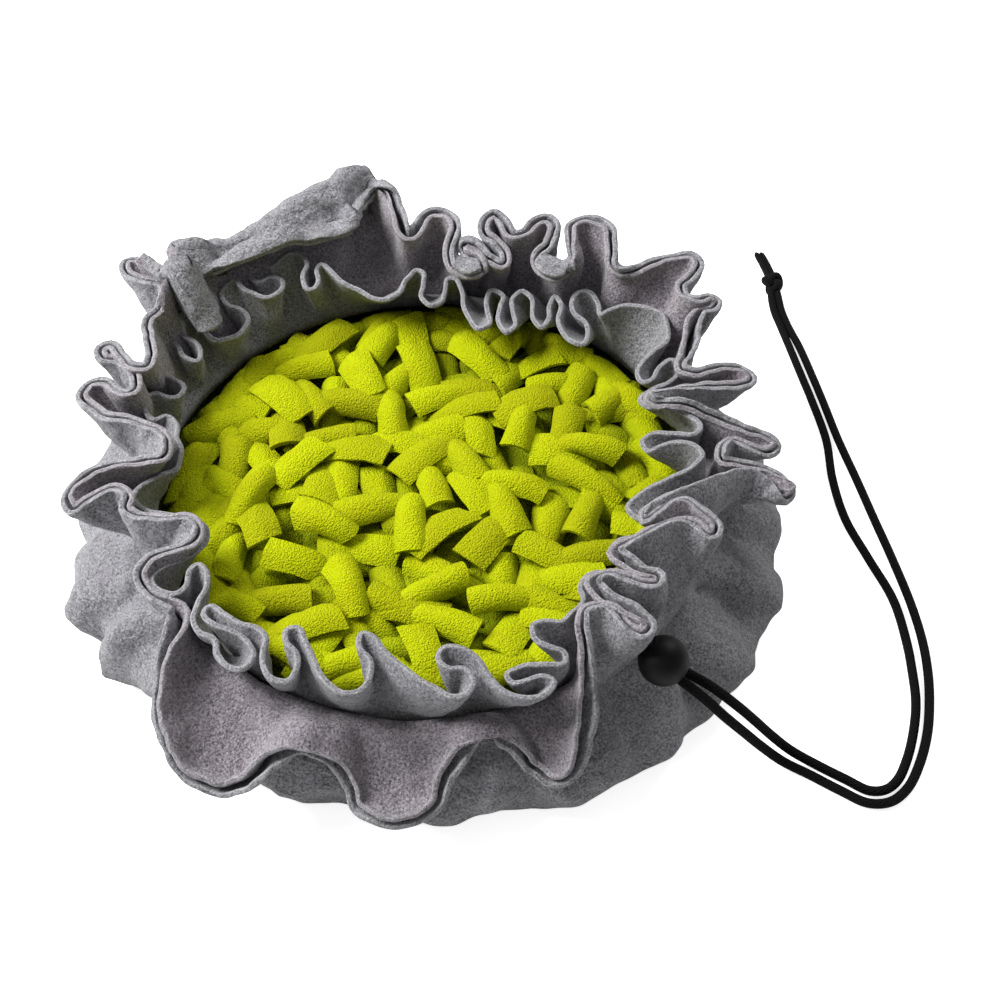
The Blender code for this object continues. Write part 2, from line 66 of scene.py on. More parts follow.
# Where the cloth starts: the ring at which the drawstring gathers the bag
NECK_CENTRE = (3.0, -7.0)
NECK_RADIUS = 122.0
CHANNEL_FOOT = 44.0
CHANNEL_TOP = 49.5
FRILL_FOOT_HEIGHT = 49.0
# The neck's dip and outward lean at the front, and how many degrees they spread over
NECK_DIP = 5.0
NECK_LEAN = 3.0
NECK_FRONT_SPREAD = 50.0
# Least step round the neck between two samples of an edge, as a share of the mean
LEAST_FOOT_STEP = 0.55
# Width in metres of the strips that the lining and the frill were cut as
LINING_DEPTH = 0.05
FRILL_DEPTH = 0.027
# Shares of the way from the neck to the edge at which rings of the cloth lie
RIM_STATIONS = (0, 0.06, 0.13, 0.21, 0.3, 0.39, 0.48, 0.57, 0.66, 0.75, 0.83, 0.9, 0.96, 1.0)
FRILL_STATIONS = (0, 0.1, 0.2, 0.3, 0.4, 0.5, 0.6, 0.7, 0.8, 0.88, 0.95, 1.0)
WALL_LEVELS = 24
# Share across a cut edge, and how far the edge bulges there
EDGE_ROUNDING = ((0.12, 0.30), (0.35, 0.50), (0.65, 0.50), (0.88, 0.30))
# Pale fluff and painted highlight on the rings round a cut edge, most of it on the two corners
FLUFF_AND_HIGHLIGHT_SHARES = (0.55, 1.0, 0.15, 0.15, 1.0, 0.55)
# Heights above the neck at which an edge no longer hangs, and at which it fully stands
HANGING_RISE = 15.0
STANDING_RISE = 35.0

# Bag wall from the floor to the channel, and about how far it comes in on the way
WALL_WAY_IN = 32.0
WALL_PROFILE = (
    # inset from the fullest radius, share of the way in to the neck, height
    (78.0, 0.0, 0.0),
    (9.0, 0.0, 0.0),
    (2.0, 0.0, 6.0),
    (0.0, 0.0, 18.0),
    (0.0, 0.35, 32.0),
    (0.0, 0.8, 41.0),
)
BAG_BULGE = (
    # angle, fullest radius
    (0, 163), (30, 156), (60, 152), (90, 150), (120, 152), (150, 155), (180, 157), (191, 158),
    (205, 156), (212, 153), (220, 146), (235, 150), (249, 153), (260, 152), (276, 153),
    (283, 155), (291, 160), (300, 162), (324, 161), (330, 166), (338, 163), (349, 161),
)
# Broad waves of the wall: depth, and numbers of waves round the bag
WALL_WAVE_DEPTH = 2.2
WALL_WAVES = (13, 8)
# Gathers below and above the channel: number, depth
WALL_GATHERS = (26, 3.0)
RIM_GATHERS = (56, 2.6)

# Edge of the two-ply rim, clockwise from the front
RIM_EDGE = (
    # x, y, z, arch of the cloth below, parting of the plies
    (9, -158, 28, -5, 1.4), (-4, -163, 27, -6, 1.2), (-18, -158, 28, -4, 1.8),
    (-22, -151, 33, -1, 2.4), (-27, -146, 40.5, 4, 3.2), (-40, -144, 47, 6, 3.6),
    (-52, -147, 43, 4, 3.4), (-60, -151, 36, -1, 2.4), (-69, -153, 32, -4, 1.5),
    (-82, -149, 36, -6, 1), (-91, -140, 42, -5, 0.8), (-95, -129, 49, -4, 0.7),
    (-95, -118, 55, -4, 1.4), (-93, -108, 61, 0, 3), (-89, -99, 66, 2, 4.5), (-89, -94, 68, 2, 3.5),
    (-95, -90, 69, 2, 1), (-102, -86, 70, 2, 0.6), (-105, -81, 72, 2, 0.6), (-102, -75, 74, 2, 0.6),
    (-94, -71, 75, 2, 0.6), (-86, -67, 76, 2, 0.6), (-84, -62, 76, 2, 0.6), (-88, -55, 76, 2, 0.6),
    (-99, -54, 75, 2, 0.5), (-110, -53, 75, 2, 0.5), (-115, -50, 76, 2, 0.5),
    (-115, -44, 77, 2, 0.5), (-120, -40, 77, 2, 0.5), (-125, -42, 77, 2, 0.6),
    (-132, -45, 75, 2, 0.8), (-137, -49, 74, 2, 1.2), (-141, -45, 74, 2, 1.5),
    (-140, -39, 75, 2, 1.2), (-133, -33, 77, 2, 1), (-124, -28, 78, 2, 0.8),
    (-111, -27, 79, 3, 0.6), (-103, -26, 80, 3, 0.5), (-102, -19, 80, 3, 0.5),
    (-107, -11, 80, 3, 0.5), (-118, -6, 80, 3, 0.5), (-130, -3, 80, 2, 0.6), (-139, 4, 79, 2, 0.8),
    (-144, 11, 79, 2, 1), (-142, 17, 80, 2, 1), (-135, 17, 81, 2, 0.6), (-128, 11, 81, 2, 0.5),
    (-122, 10, 82, 2, 0.5), (-121, 16, 82, 2, 0.5), (-125, 24, 82, 2, 0.5), (-131, 29, 82, 2, 0.5),
    (-138, 30, 82.5, 2, 0.8), (-140, 35, 83, 2, 1), (-136, 37, 84, 2, 0.8), (-130, 31, 84, 2, 0.5),
    (-124, 24, 84, 2, 0.5), (-118, 23, 84, 2, 0.5), (-116, 29, 85, 2, 0.5), (-120, 42, 85, 2, 0.5),
    (-121, 52, 86, 2, 0.5), (-116, 58, 86, 2, 0.5), (-114, 65, 87, 2, 0.5), (-120, 74, 87, 3, 0.5),
    (-127, 76, 88, 3, 0.5), (-136, 81, 88, 3, 0.5), (-137, 88, 89, 3, 0.5),
    (-130, 89, 88.5, 6, 0.5), (-124, 86, 87, 16, 0.5), (-118, 78, 84, 29, 0.5),
    (-111, 71, 80, 35, 0.5), (-104, 62, 78, 37, 0.5), (-97, 54, 77, 36, 0.5),
    (-92, 57, 78, 34, 0.5), (-96, 66, 81, 33, 0.5), (-103, 72, 84, 31, 0.5),
    (-108, 80, 85, 29, 0.5), (-104, 85, 85, 27, 0.5), (-94, 89, 84, 25, 0.5),
    (-81, 95, 84, 25, 0.5), (-67, 103, 85, 26, 0.5), (-54, 107, 86, 31, 0.5),
    (-41, 109, 87, 35, 0.8), (-34, 113, 88, 35, 1), (-32, 123, 90, 33, 1), (-29, 132, 91.5, 29, 1),
    (-25, 139, 93, 23, 1.2), (-19, 134, 93.5, 14, 1.8), (-15, 125, 92, 6, 2.2),
    (-12, 114, 90, 3, 2.8), (-8, 109, 88, 3, 3), (-3, 115, 88.5, 3, 2), (2, 122, 90, 2, 1.5),
    (10, 122, 90.5, 2, 1.2), (14, 113, 90, 2, 0.8), (11, 100, 87, 6, 0.6), (13, 89, 84.5, 9, 0.6),
    (20, 85, 82.5, 11, 0.5), (26, 88, 82.5, 11, 0.5), (25, 95, 83.5, 11, 0.5),
    (18, 98, 85, 10, 0.5), (17, 103, 86.5, 8, 0.5), (23, 102, 86.5, 7, 0.5), (30, 95, 85, 2, 0.5),
    (36, 92, 84, 2, 0.5), (38, 98, 85, 2, 0.5), (33, 104, 87.5, 2, 0.5), (28, 108, 89.5, 2, 0.8),
    (28, 116, 91, 2, 1), (32, 121, 91.5, 2, 1.4), (36, 115, 90.5, 2, 1.6), (41, 108, 89.5, 2, 1.8),
    (47, 110, 89.5, 2, 1.8), (52, 115, 91, 2, 1.6), (57, 116, 91.5, 2, 1.4), (60, 110, 91, 2, 1),
    (58, 101, 89.5, 5, 0.7), (53, 96, 87.5, 8, 0.7), (51, 90, 85.5, 11, 0.7), (55, 84, 84, 12, 0.7),
    (61, 82, 83.5, 12, 0.7), (67, 87, 84.5, 11, 0.7), (69, 95, 87, 8, 0.7), (67, 103, 89.5, 5, 0.7),
    (69, 111, 91.5, 2, 1.2), (77, 115, 92.3, 2, 1.8), (86, 109, 91.5, 2, 1.5), (87, 99, 89, 2, 0.8),
    (85, 91, 86.5, 5, 0.7), (88, 85, 85, 8, 0.7), (94, 85, 85, 8, 0.7), (104, 90, 85.5, 5, 0.7),
    (116, 94, 87, 2, 0.7), (124, 94, 87.5, 2, 0.7), (127, 88, 86.5, 2, 0.7), (123, 82, 85, 2, 0.7),
    (118, 77, 84.5, 2, 0.7), (118, 71, 84, 2, 0.7), (124, 68, 84, 2, 0.6), (130, 70, 84, 2, 0.6),
    (134, 67, 83, 2, 0.6), (131, 63, 82, 2, 0.8), (126, 63, 81, 2, 1.5), (122, 58, 80, 2, 3),
    (120, 47, 78.5, 2, 3.5), (117, 37, 77.5, 2, 1.5), (114, 29, 77.5, 2, 0.6),
    (120, 27, 77, 3, 0.5), (132, 34, 74, 3, 0.5), (142, 35, 72, 3, 0.5), (146, 31, 70.5, 3, 0.5),
    (139, 25, 71.5, 4, 0.5), (124, 21, 75, 5, 0.5), (107, 16, 77.5, 5, 0.5), (98, 12, 78.5, 5, 0.5),
    (100, 8, 78, 5, 0.5), (112, 8, 76.5, 5, 0.5), (126, 4, 73.5, 5, 0.6), (138, 1, 70, 4, 0.8),
    (149, -1, 66.5, 3, 0.8), (154, -5, 64.5, 3, 0.8), (148, -8, 65, 3, 0.8), (140, -7, 67, 3, 0.7),
    (133, -5, 68, 3, 0.6), (128, -10, 69.5, 3, 0.6), (128, -17, 69, 3, 0.6), (136, -17, 67, 3, 0.6),
    (146, -18, 64.5, 3, 0.8), (155, -21, 61.5, 3, 1), (159, -26, 60, 3, 1.2),
    (154, -31, 60.5, 3, 1), (149, -25, 62.5, 3, 0.8), (142, -21, 65.5, 4, 0.6),
    (132, -24, 69, 4, 0.5), (117, -34, 73.5, 4, 0.5), (102, -44, 77, 4, 0.5), (93, -53, 79, 3, 0.5),
    (92, -58, 79, 3, 0.5), (98, -53, 78.8, 3, 0.6), (104, -48, 78.3, 3, 0.8),
    (111, -47, 77.3, 3, 0.8), (117, -52, 76, 2, 0.8), (121, -58, 74.5, 2, 0.8),
    (118, -63, 75, 2, 0.8), (114, -60, 76, 2, 0.7), (109, -57, 77, 2, 0.6), (101, -59, 78, 2, 0.6),
    (91, -66, 79.5, 2, 0.8), (83, -71, 80, 2, 1.8), (79, -75, 80, 2, 2.4), (83, -79, 79.7, 2, 2.4),
    (89, -84, 79.3, 2, 2), (95, -86, 79, 2, 1), (94, -90, 79, 2, 0.7), (87, -89, 79.3, 2, 0.7),
    (79, -86, 79.7, 2, 0.8), (72, -87, 80, 2, 1.6), (69, -91, 80, 2, 2.2), (74, -96, 79.5, 2, 2.4),
    (81, -100, 79, 2, 2.4), (87, -104, 78, 2, 2), (91, -108, 76.8, 2, 1), (88, -112, 76.8, 2, 0.7),
    (82, -109, 77.5, 2, 0.7), (77, -103, 78.3, 2, 0.7), (72, -100, 78.3, 2, 0.7),
    (67, -102, 77.5, 2, 0.7), (66, -108, 74, 2, 0.7), (67, -114, 68, 2, 0.9), (68, -122, 60, 2, 3),
    (67, -131, 52.5, -1, 4.5), (66, -140, 46, -3, 4), (64, -145, 39, -4, 2.4),
    (60, -149, 34.5, -5, 1.2), (54, -149, 33, -6, 1), (48, -144, 34.5, -1, 1), (42, -141, 41, 4, 2),
    (31, -138, 46.5, 6, 3.2), (21, -141, 43, 4, 3.4), (15, -148, 35, -1, 2.4),
)

# Edge of the single-ply frill inside the rim, clockwise from the right of the front
FRILL_EDGE = (
    # x, y, z, arch of the cloth below
    (62, -96, 68, 1.5), (58, -101, 69, 1.5), (52, -101, 70, 1.5), (47, -103, 70, 1.5),
    (48, -109, 69.5, 1.5), (54, -112, 68.5, 1.5), (59, -114, 67.5, 1.5), (59, -118, 67, 1.5),
    (52, -119, 67, 1.5), (43, -120, 67, 1.5), (37, -123, 66.5, 1.5), (39, -127, 66.5, 1.5),
    (45, -126, 66.5, 1.5), (51, -124, 66.5, 1.5), (55, -126, 66, 1.5), (52, -131, 65.5, 2),
    (43, -133, 65.5, 2), (36, -130, 66.5, 2), (30, -124, 68, 2), (26, -118, 70, 2),
    (20, -114, 71, 2), (14, -114, 71, 2), (12, -119, 70.5, 1.5), (16, -123, 70, 1.5),
    (22, -123, 69.5, 1.5), (25, -128, 69, 1.5), (23, -133, 68.5, 1.5), (17, -134, 68.5, 1.5),
    (10, -130, 69, 2), (1, -124, 70, 2), (-8, -116, 71, 2), (-12, -110, 71.5, 1.5),
    (-17, -108, 71.5, 1.5), (-17, -114, 71, 1.5), (-13, -119, 70, 1.5), (-13, -127, 69, 1.5),
    (-17, -132, 68.5, 1.5), (-23, -132, 68.5, 1.5), (-29, -128, 69.5, 1.5), (-34, -120, 70.5, 1.5),
    (-38, -111, 71.5, 1.5), (-41, -106, 72, 1), (-45, -107, 72, 1), (-45, -112, 71.5, 1),
    (-41, -117, 70.5, 1), (-40, -123, 69.5, 1), (-43, -128, 69, 1), (-49, -127, 69, 1),
    (-52, -122, 69.5, 1), (-53, -116, 70.5, 1), (-53, -110, 71.5, 1), (-57, -106, 72, 1),
    (-63, -104, 72, 1), (-70, -99, 71.5, 1), (-76, -95, 71, 1), (-78, -98, 70.5, 1),
    (-73, -103, 70, 1), (-66, -106, 69, 1), (-60, -110, 68, 1), (-57, -116, 67.5, 1),
    (-60, -121, 67, 1), (-67, -120, 67, 1), (-71, -115, 67.5, 1), (-73, -109, 68, 1),
    (-79, -106, 68.5, 1), (-82, -100, 69, 1), (-81, -94, 69.5, 1), (-79, -87, 70, 1),
    (-79, -79, 71, 1), (-83, -75, 71.5, 1), (-86, -78, 71, 1), (-86, -84, 70, 1), (-91, -88, 69, 1),
    (-98, -86, 69, 1), (-101, -80, 69.5, 1), (-97, -76, 70.5, 1), (-91, -73, 71, 1),
    (-85, -69, 71.5, 1), (-82, -63, 71, 1), (-83, -56, 71, 1), (-89, -51, 70.5, 1),
    (-98, -49, 70, 1), (-106, -47, 70, 1), (-112, -44, 70, 1), (-115, -40, 70.5, 1),
    (-113, -34, 70.5, 1), (-109, -30, 70.5, 1), (-105, -27, 70.5, 1), (-100, -24, 70, 1),
    (-99, -19, 70, 1), (-100, -11, 69.5, 1), (-103, -4, 69, 1), (-104, 3, 69, 1),
    (-109, 8, 69.5, 1), (-114, 5, 70, 1), (-119, 10, 70.5, 1), (-120, 18, 70.5, 1),
    (-116, 21, 70.5, 1), (-111, 19, 70, 1), (-106, 20, 69, 1), (-104, 26, 69.5, 1),
    (-109, 30, 70, 1), (-115, 33, 70.5, 1), (-119, 37, 71, 1), (-120, 45, 72, 1), (-120, 52, 72, 1),
    (-116, 54, 72, 1), (-111, 50, 71, 1), (-107, 44, 70.5, 1), (-101, 42, 70, 1), (-100, 48, 70, 1),
    (-103, 53, 70.5, 1), (-109, 57, 71.5, 1), (-113, 64, 72.5, 1), (-112, 71, 73, 1),
    (-107, 71, 73, 1), (-103, 65, 72, 1), (-98, 58, 71, 1), (-93, 55, 70, 1), (-87, 59, 69, 1),
    (-83, 65, 68.5, 1), (-82, 72, 69, 1), (-86, 77, 70, 1), (-92, 79, 71, 1), (-96, 84, 72.5, 1),
    (-94, 88, 74, 1), (-90, 92, 75, 1), (-86, 88, 74, 1), (-81, 86, 72.5, 1), (-74, 84, 71.5, 1),
    (-68, 88, 71.5, 1), (-68, 95, 72.5, 1), (-73, 96, 73.5, 1), (-79, 93, 73.2, 1),
    (-84, 97, 74, 1), (-83, 103, 75, 1), (-79, 104, 75.5, 1), (-74, 101, 75, 1), (-70, 105, 76, 1),
    (-65, 110, 77, 1), (-60, 109, 77, 1), (-57, 102, 76, 1), (-58, 95, 74.5, 1), (-56, 88, 73, 1),
    (-53, 89, 72, 1), (-51, 92, 73, 1), (-52, 99, 74.5, 1), (-50, 103, 75.5, 1), (-45, 99, 75, 1),
    (-39, 92, 73.5, 1), (-33, 89, 72, 1), (-26, 84, 71, 1), (-18, 83, 70.5, 1), (-12, 88, 71, 1),
    (-9, 95, 72.5, 1), (-5, 100, 74, 1), (-1, 98, 73.5, 1), (-1, 92, 72, 1), (-2, 84, 71, 1),
    (2, 79, 70, 1), (7, 82, 70, 1), (9, 89, 71, 1), (10, 95, 72.5, 1), (14, 95, 73, 1),
    (17, 88, 72, 1), (18, 80, 70.5, 1), (20, 72, 69, 1), (25, 65, 68, 1), (30, 68, 68.5, 1),
    (29, 75, 70, 1), (28, 82, 71.5, 1), (31, 87, 72.5, 1), (36, 84, 72, 1), (35, 78, 70.5, 1),
    (34, 70, 69, 1), (38, 62, 68, 1), (42, 67, 68.5, 1), (41, 75, 70, 1), (41, 83, 71.5, 1),
    (45, 87, 73, 1), (49, 83, 72.5, 1), (50, 76, 71, 1), (50, 70, 69.5, 1), (54, 65, 69, 1),
    (57, 71, 69.5, 1), (58, 78, 71, 1), (60, 83, 72.5, 1), (63, 79, 72, 1), (62, 71, 70.5, 1),
    (63, 63, 69, 1), (67, 56, 68, 1), (72, 54, 68, 1), (75, 60, 69, 1), (74, 66, 70.5, 1),
    (69, 72, 71.5, 1), (68, 78, 73, 1), (71, 84, 74, 1), (76, 85, 74, 1), (80, 79, 73, 1),
    (81, 71, 72, 1), (85, 73, 73, 1), (92, 75, 74, 1), (99, 74, 74.5, 1), (105, 72, 74.5, 1),
    (110, 68, 74, 1), (111, 60, 73, 1), (110, 53, 71.5, 1), (105, 49, 70, 1), (100, 44, 69, 1),
    (96, 37, 68, 1), (98, 30, 68, 1), (103, 32, 69.5, 1), (106, 37, 71, 1), (111, 40, 72.5, 1),
    (115, 36, 72.5, 1), (114, 31, 72, 1), (109, 27, 70.5, 1), (102, 25, 69, 1), (96, 20, 68, 1),
    (98, 15, 68, 1), (104, 13, 69.5, 1), (112, 9, 71, 1), (119, 3, 72, 1), (120, -2, 72, 1),
    (117, -5, 71.5, 1), (109, -3, 70, 1), (101, -2, 68.5, 1), (95, -5, 67.5, 1), (97, -11, 67.5, 1),
    (103, -10, 69.5, 1), (110, -9, 71, 1), (117, -12, 72, 1), (120, -17, 72, 1), (117, -21, 71, 1),
    (111, -25, 69.5, 1), (103, -28, 68, 1), (96, -32, 67.5, 1), (90, -37, 67, 1),
    (87, -41, 66.5, 1), (89, -46, 66.5, 1), (93, -49, 66.5, 1), (96, -52, 65.5, 1),
    (93, -57, 65.5, 1), (87, -57, 66, 1), (82, -59, 66.5, 1), (79, -64, 66.5, 1), (81, -69, 66, 1),
    (83, -73, 65.5, 1), (78, -76, 66, 1), (73, -75, 66.5, 1), (68, -78, 67, 1), (66, -83, 67, 1),
    (67, -88, 66.5, 1), (65, -93, 67, 1),
)

# Soft ridges (+) and troughs (-) in the bag's wall
WALL_CREASES = (
    # angle at the neck, angle at the floor, depth, width in degrees, lowest, highest height
    (196, 203, 6, 5.0, 2, 44),
    (204, 209, -5.25, 3.5, 2, 44),
    (212, 214, 6, 4.5, 0, 40),
    (183, 190, -6, 4.0, 6, 46),
    (172, 178, 5.25, 5.0, 4, 46),
    (232, 226, -4.5, 4.0, 0, 40),
    (246, 240, 3.75, 5.0, 0, 36),
    (262, 258, -3.75, 4.0, 2, 40),
    (278, 274, 3.75, 5.0, 0, 40),
    (290, 285, -4.5, 3.5, 4, 44),
    (299, 296, 5.25, 3.2, 14, 46),
    (305, 303, -6, 2.2, 10, 46),
    (311, 309, 5.25, 2.8, 14, 46),
    (317, 316, -6.75, 2.2, 16, 46),
    (325, 326, 7.5, 4.0, 18, 46),
    (333, 336, -7.5, 2.6, 16, 46),
    (340, 344, 6, 3.4, 20, 46),
    (348, 350, -6.75, 2.6, 18, 46),
    (355, 358, 6, 3.0, 20, 46),
    (3, 4, -6, 3.0, 18, 46),
    (30, 34, -4.5, 5.0, 2, 44),
    (60, 58, 4.5, 6.0, 2, 44),
    (95, 98, -4.5, 6.0, 2, 44),
    (130, 127, 4.5, 6.0, 2, 44),
    (152, 149, -4.5, 5.0, 2, 44),
)

# Where the hanging pockets of the rim press the wall in
WALL_PRESSES = (
    # angle, depth, width in degrees
    (246, 9.0, 9.0), (269, 9.0, 10.0),
)

# Creases across the broad fold at the back left, seen from above
AWNING_CREASES = (
    # from x, y, to x, y, depth, width
    (-104, 84, -96, 97, 6.0, 4.0), (-96, 97, -80, 110, 8.0, 4.0), (-56, 110, -45, 119, 6.0, 4.0),
    (-45, 119, -29, 139, 9.0, 4.5), (-90, 95, -62, 104, -3.0, 5.0), (-111, 63, -107, 71, -15.0, 7.0),
)
AWNING_LEAST_HEIGHT = 78.0

# The strips' backing: its side, and its top round the field's centre
BED_PROFILE = (
    # inset from the bag's fullest radius, height
    (18.0, 2.7), (8.0, 8.0), (8.0, 17.0), (16.0, 24.0), (36.0, 30.0),
)
BED_DOME = (
    # radius, height
    (111.0, 34.0), (99.0, 37.5), (60.0, 38.0), (20.0, 38.0),
)
BED_POINTS = 96

# How the strips are strewn
FIELD_CENTRE = (-1.0, -6.0)
FIELD_REACH = 110.0
FIELD_SHOULDER = 88.0
STRIP_LAYERS = (
    # least distance between two strips, height of their tips
    (17.5, 51.5), (13.5, 46.5), (11.0, 41.5),
)
STRIP_TRIES = 4800
# Width of a strip for each curl across it in radians
STRIP_WIDTHS = {0.9: 15.5, 1.5: 16.5, 2.2: 18, 2.8: 20, 3.4: 22}
# The strips that lie along the field's edge: how many, at what reach, how wide
EDGE_STRIPS = 40
EDGE_REACH = 107.0
EDGE_STRIP_WIDTH = 17.5
# How far from the neck's centre a strip may reach below this height, in the bag, and above
# it, within the neck and the frill
NARROWING_HEIGHT = 31.0
REACH_BELOW = 126.0
REACH_ABOVE = 114.5

# Routes of the two strands, from the lock to the knot
NEAR_STRAND = (
    # x, y, z
    (103.2, -115.4, 51.8), (113, -121, 46.5), (121, -124, 39), (130, -124.5, 28),
    (139, -124, 16), (149, -125, 6), (160, -129, 2.3), (171, -136, 2.3), (181, -141.5, 2.3),
    (190, -141, 2.3), (198, -135, 2.3), (205, -124, 2.3), (211, -110, 2.3), (215, -95, 2.3),
    (217.5, -80, 2.3), (218.5, -64, 2.3), (217.5, -44, 2.3), (214, -18, 2.3), (210, 6, 2.3),
    (206, 31, 2.3), (201.5, 57, 2.3), (198.2, 83, 2.3), (195.5, 102, 2.3), (192, 124, 2.3),
    (188.4, 140, 2.3), (186.3, 152, 3), (185.6, 162, 4.2), (185.2, 168, 5.0),
)
FAR_STRAND = (
    # x, y, z
    (104.7, -111.2, 51.4), (116.5, -115.5, 46), (127, -119, 38), (135.5, -119, 27),
    (144, -118.5, 15), (153, -120, 6), (163.5, -124.5, 2.3), (174, -131, 2.3),
    (182.5, -136, 2.3), (189, -135.6, 2.3), (194.5, -131.5, 2.3), (200.5, -121.5, 2.3),
    (206, -107.5, 2.3), (209.5, -94, 2.3), (211, -78, 2.3), (211.5, -64, 2.3),
    (210, -41, 2.3), (203, -17, 2.3), (196.5, 6, 2.3), (194.5, 31, 2.3), (195.5, 57, 2.3),
    (192.5, 85, 2.3), (190, 102, 2.3), (186.8, 124, 2.3), (184.4, 140, 2.3),
    (182.3, 152, 3), (181.9, 162, 4.2), (182.4, 168, 5.0),
)
ROUTE_SPACING = 1.5
KNOT_CENTRE = (183.8, 171.2, 5.3)
KNOT_SCALE = (1.5, 1.8, 2.5)
TAIL_ROUTE = (
    (184, 172, 5.0), (184, 177, 4.6), (183.5, 183, 3.3), (182.3, 192, 2.4), (180, 202, 2.4),
)
TAIL_SHIFT = 1.35

# The lock is a ball cut flat at both ends, this many degrees round from its axis. Its cords
# leave along the outlet's direction, and its button stands on the other end
LOCK_RADIUS = 9.9
LOCK_FLATS = 30.0
LOCK_CENTRE = (97.3, -110.5, 56.5)
LOCK_OUTLET = (0.75, -0.35, -0.55)
LOCK_BUTTON = (
    # steps over the collar and the button: in towards the axis, out along it
    (0.65, 0.79), (0.2, -0.6), (0.5, 0.0), (0.0, 1.2), (0.3, 0.7), (0.7, 0.35), (2.5, 0.05),
)
LOCK_FOOT = ((0.55, 0.34),)

LAMPS = (
    # name, place and size in metres, share of the lamp's power
    ("soft_lamp", (-0.8, 0.14, 0.9), 0.6, 1.0),
    ("fill_lamp", (0.6, 0.7, 0.9), 0.4, 0.22),
)


# Settings

class ClothSettings(PropertyGroup):
    thickness: FloatProperty(
        name="Thickness", description="Thickness of one ply of fleece",
        default=0.0022, min=0.001, max=0.003, unit="LENGTH")
    ply_gap: FloatProperty(
        name="Ply gap", description="Gap between the two plies of the rim at the neck",
        default=0.0006, min=0.0003, max=0.003, unit="LENGTH")
    seam_gap: FloatProperty(
        name="Seam gap", description="Gap between the lining and the frill's foot",
        default=0.0011, min=0.0005, max=0.003, unit="LENGTH")
    outer: FloatVectorProperty(
        name="Outer fleece", description="Colour of the bag and the frill",
        default=(0.2, 0.199, 0.214), size=3, min=0, max=1, subtype="COLOR")
    lining: FloatVectorProperty(
        name="Lining fleece", description="Colour of the rim's inner ply",
        default=(0.235, 0.213, 0.235), size=3, min=0, max=1, subtype="COLOR")
    # Pale specks of the nap, and the pale fluff and painted highlight along the cut edges
    fluff_and_highlight: FloatVectorProperty(
        name="Cut edge", description="Colour of the fluff along a cut edge",
        default=(0.55, 0.55, 0.57), size=3, min=0, max=1, subtype="COLOR")
    detail: IntProperty(
        name="Detail", description="Points along the edge of a cloth",
        default=1120, min=400, max=1300)


class StripSettings(PropertyGroup):
    colour: FloatVectorProperty(
        name="Strip fleece", description="Colour of the lime strips",
        default=(0.48, 0.54, 0.003), size=3, min=0, max=1, subtype="COLOR")
    # Also the painted shade of low-lying strips and of their backing
    shade: FloatVectorProperty(
        name="Shaded fleece", description="Colour between the naps of the lime strips",
        default=(0.15, 0.2, 0.003), size=3, min=0, max=1, subtype="COLOR")
    thickness: FloatProperty(
        name="Thickness", description="Thickness of a strip",
        default=0.0021, min=0.001, max=0.003, unit="LENGTH")
    seed: IntProperty(
        name="Seed", description="Arrangement of the strips", default=5, min=0)


class CordSettings(PropertyGroup):
    diameter: FloatProperty(
        name="Diameter", description="Diameter of the drawcord",
        default=0.004, min=0.003, max=0.005, unit="LENGTH")
    colour: FloatVectorProperty(
        name="Cord", description="Colour of the drawcord",
        default=(0.0015, 0.0015, 0.0017), size=3, min=0, max=1, subtype="COLOR")
    plastic: FloatVectorProperty(
        name="Lock", description="Colour of the cord lock",
        default=(0.0016, 0.0016, 0.0018), size=3, min=0, max=1, subtype="COLOR")


class StageSettings(PropertyGroup):
    elevation: FloatProperty(
        name="Elevation", description="Height of the view above the floor",
        default=math.radians(49), min=0, max=math.pi / 2, subtype="ANGLE")
    distance: FloatProperty(
        name="Distance", description="Distance from the camera to the point it looks at",
        default=0.65, min=0.3, max=3, unit="LENGTH")
    target: FloatVectorProperty(
        name="Target", description="Point that the camera looks at",
        default=(0.0348, 0.0200, 0.0), size=3, subtype="TRANSLATION", unit="LENGTH")
    lens: FloatProperty(
        name="Lens", description="Focal length of the camera",
        default=49.14, min=10, max=200, unit="CAMERA")
    daylight: FloatProperty(
        name="Daylight", description="Strength of the white surroundings",
        default=0.28, min=0, max=5)
    lamp: FloatProperty(
        name="Lamp", description="Power of the large soft lamp above",
        default=28.5, min=0, max=100, unit="POWER")


class SnuffleMatSettings(PropertyGroup):
    cloth: PointerProperty(type=ClothSettings, name="Cloth", description="Grey fleece")
    strips: PointerProperty(type=StripSettings, name="Strips", description="Lime strips")
    cord: PointerProperty(type=CordSettings, name="Cord", description="Drawcord and its lock")
    stage: PointerProperty(type=StageSettings, name="Stage", description="Camera, floor, light")


def settings():
    """The settings that the panel shows."""
    return bpy.context.scene.snuffle_mat


# Materials

class Wire:
    """An output socket of a material's node, with Python's operators as Math nodes."""

    def __init__(self, finish, socket):
        self.finish = finish
        self.socket = socket

    def math(self, operation, *others):
        return self.finish.add("ShaderNodeMath", {"operation": operation},
                               dict(enumerate((self, *others))))

    def __add__(self, other):
        return self.math("ADD", other)

    def __sub__(self, other):
        return self.math("SUBTRACT", other)

    def __rsub__(self, other):
        return self.finish.add("ShaderNodeMath", {"operation": "SUBTRACT"}, {0: other, 1: self})

    def __mul__(self, other):
        return self.math("MULTIPLY", other)

    def sine(self):
        return self.math("SINE")

    def between(self, low, high):
        """0 below low, 1 above high, and smooth between them."""
        return self.finish.add(
            "ShaderNodeMapRange", {"interpolation_type": "SMOOTHSTEP"},
            {"Value": self, "From Min": low, "From Max": high})


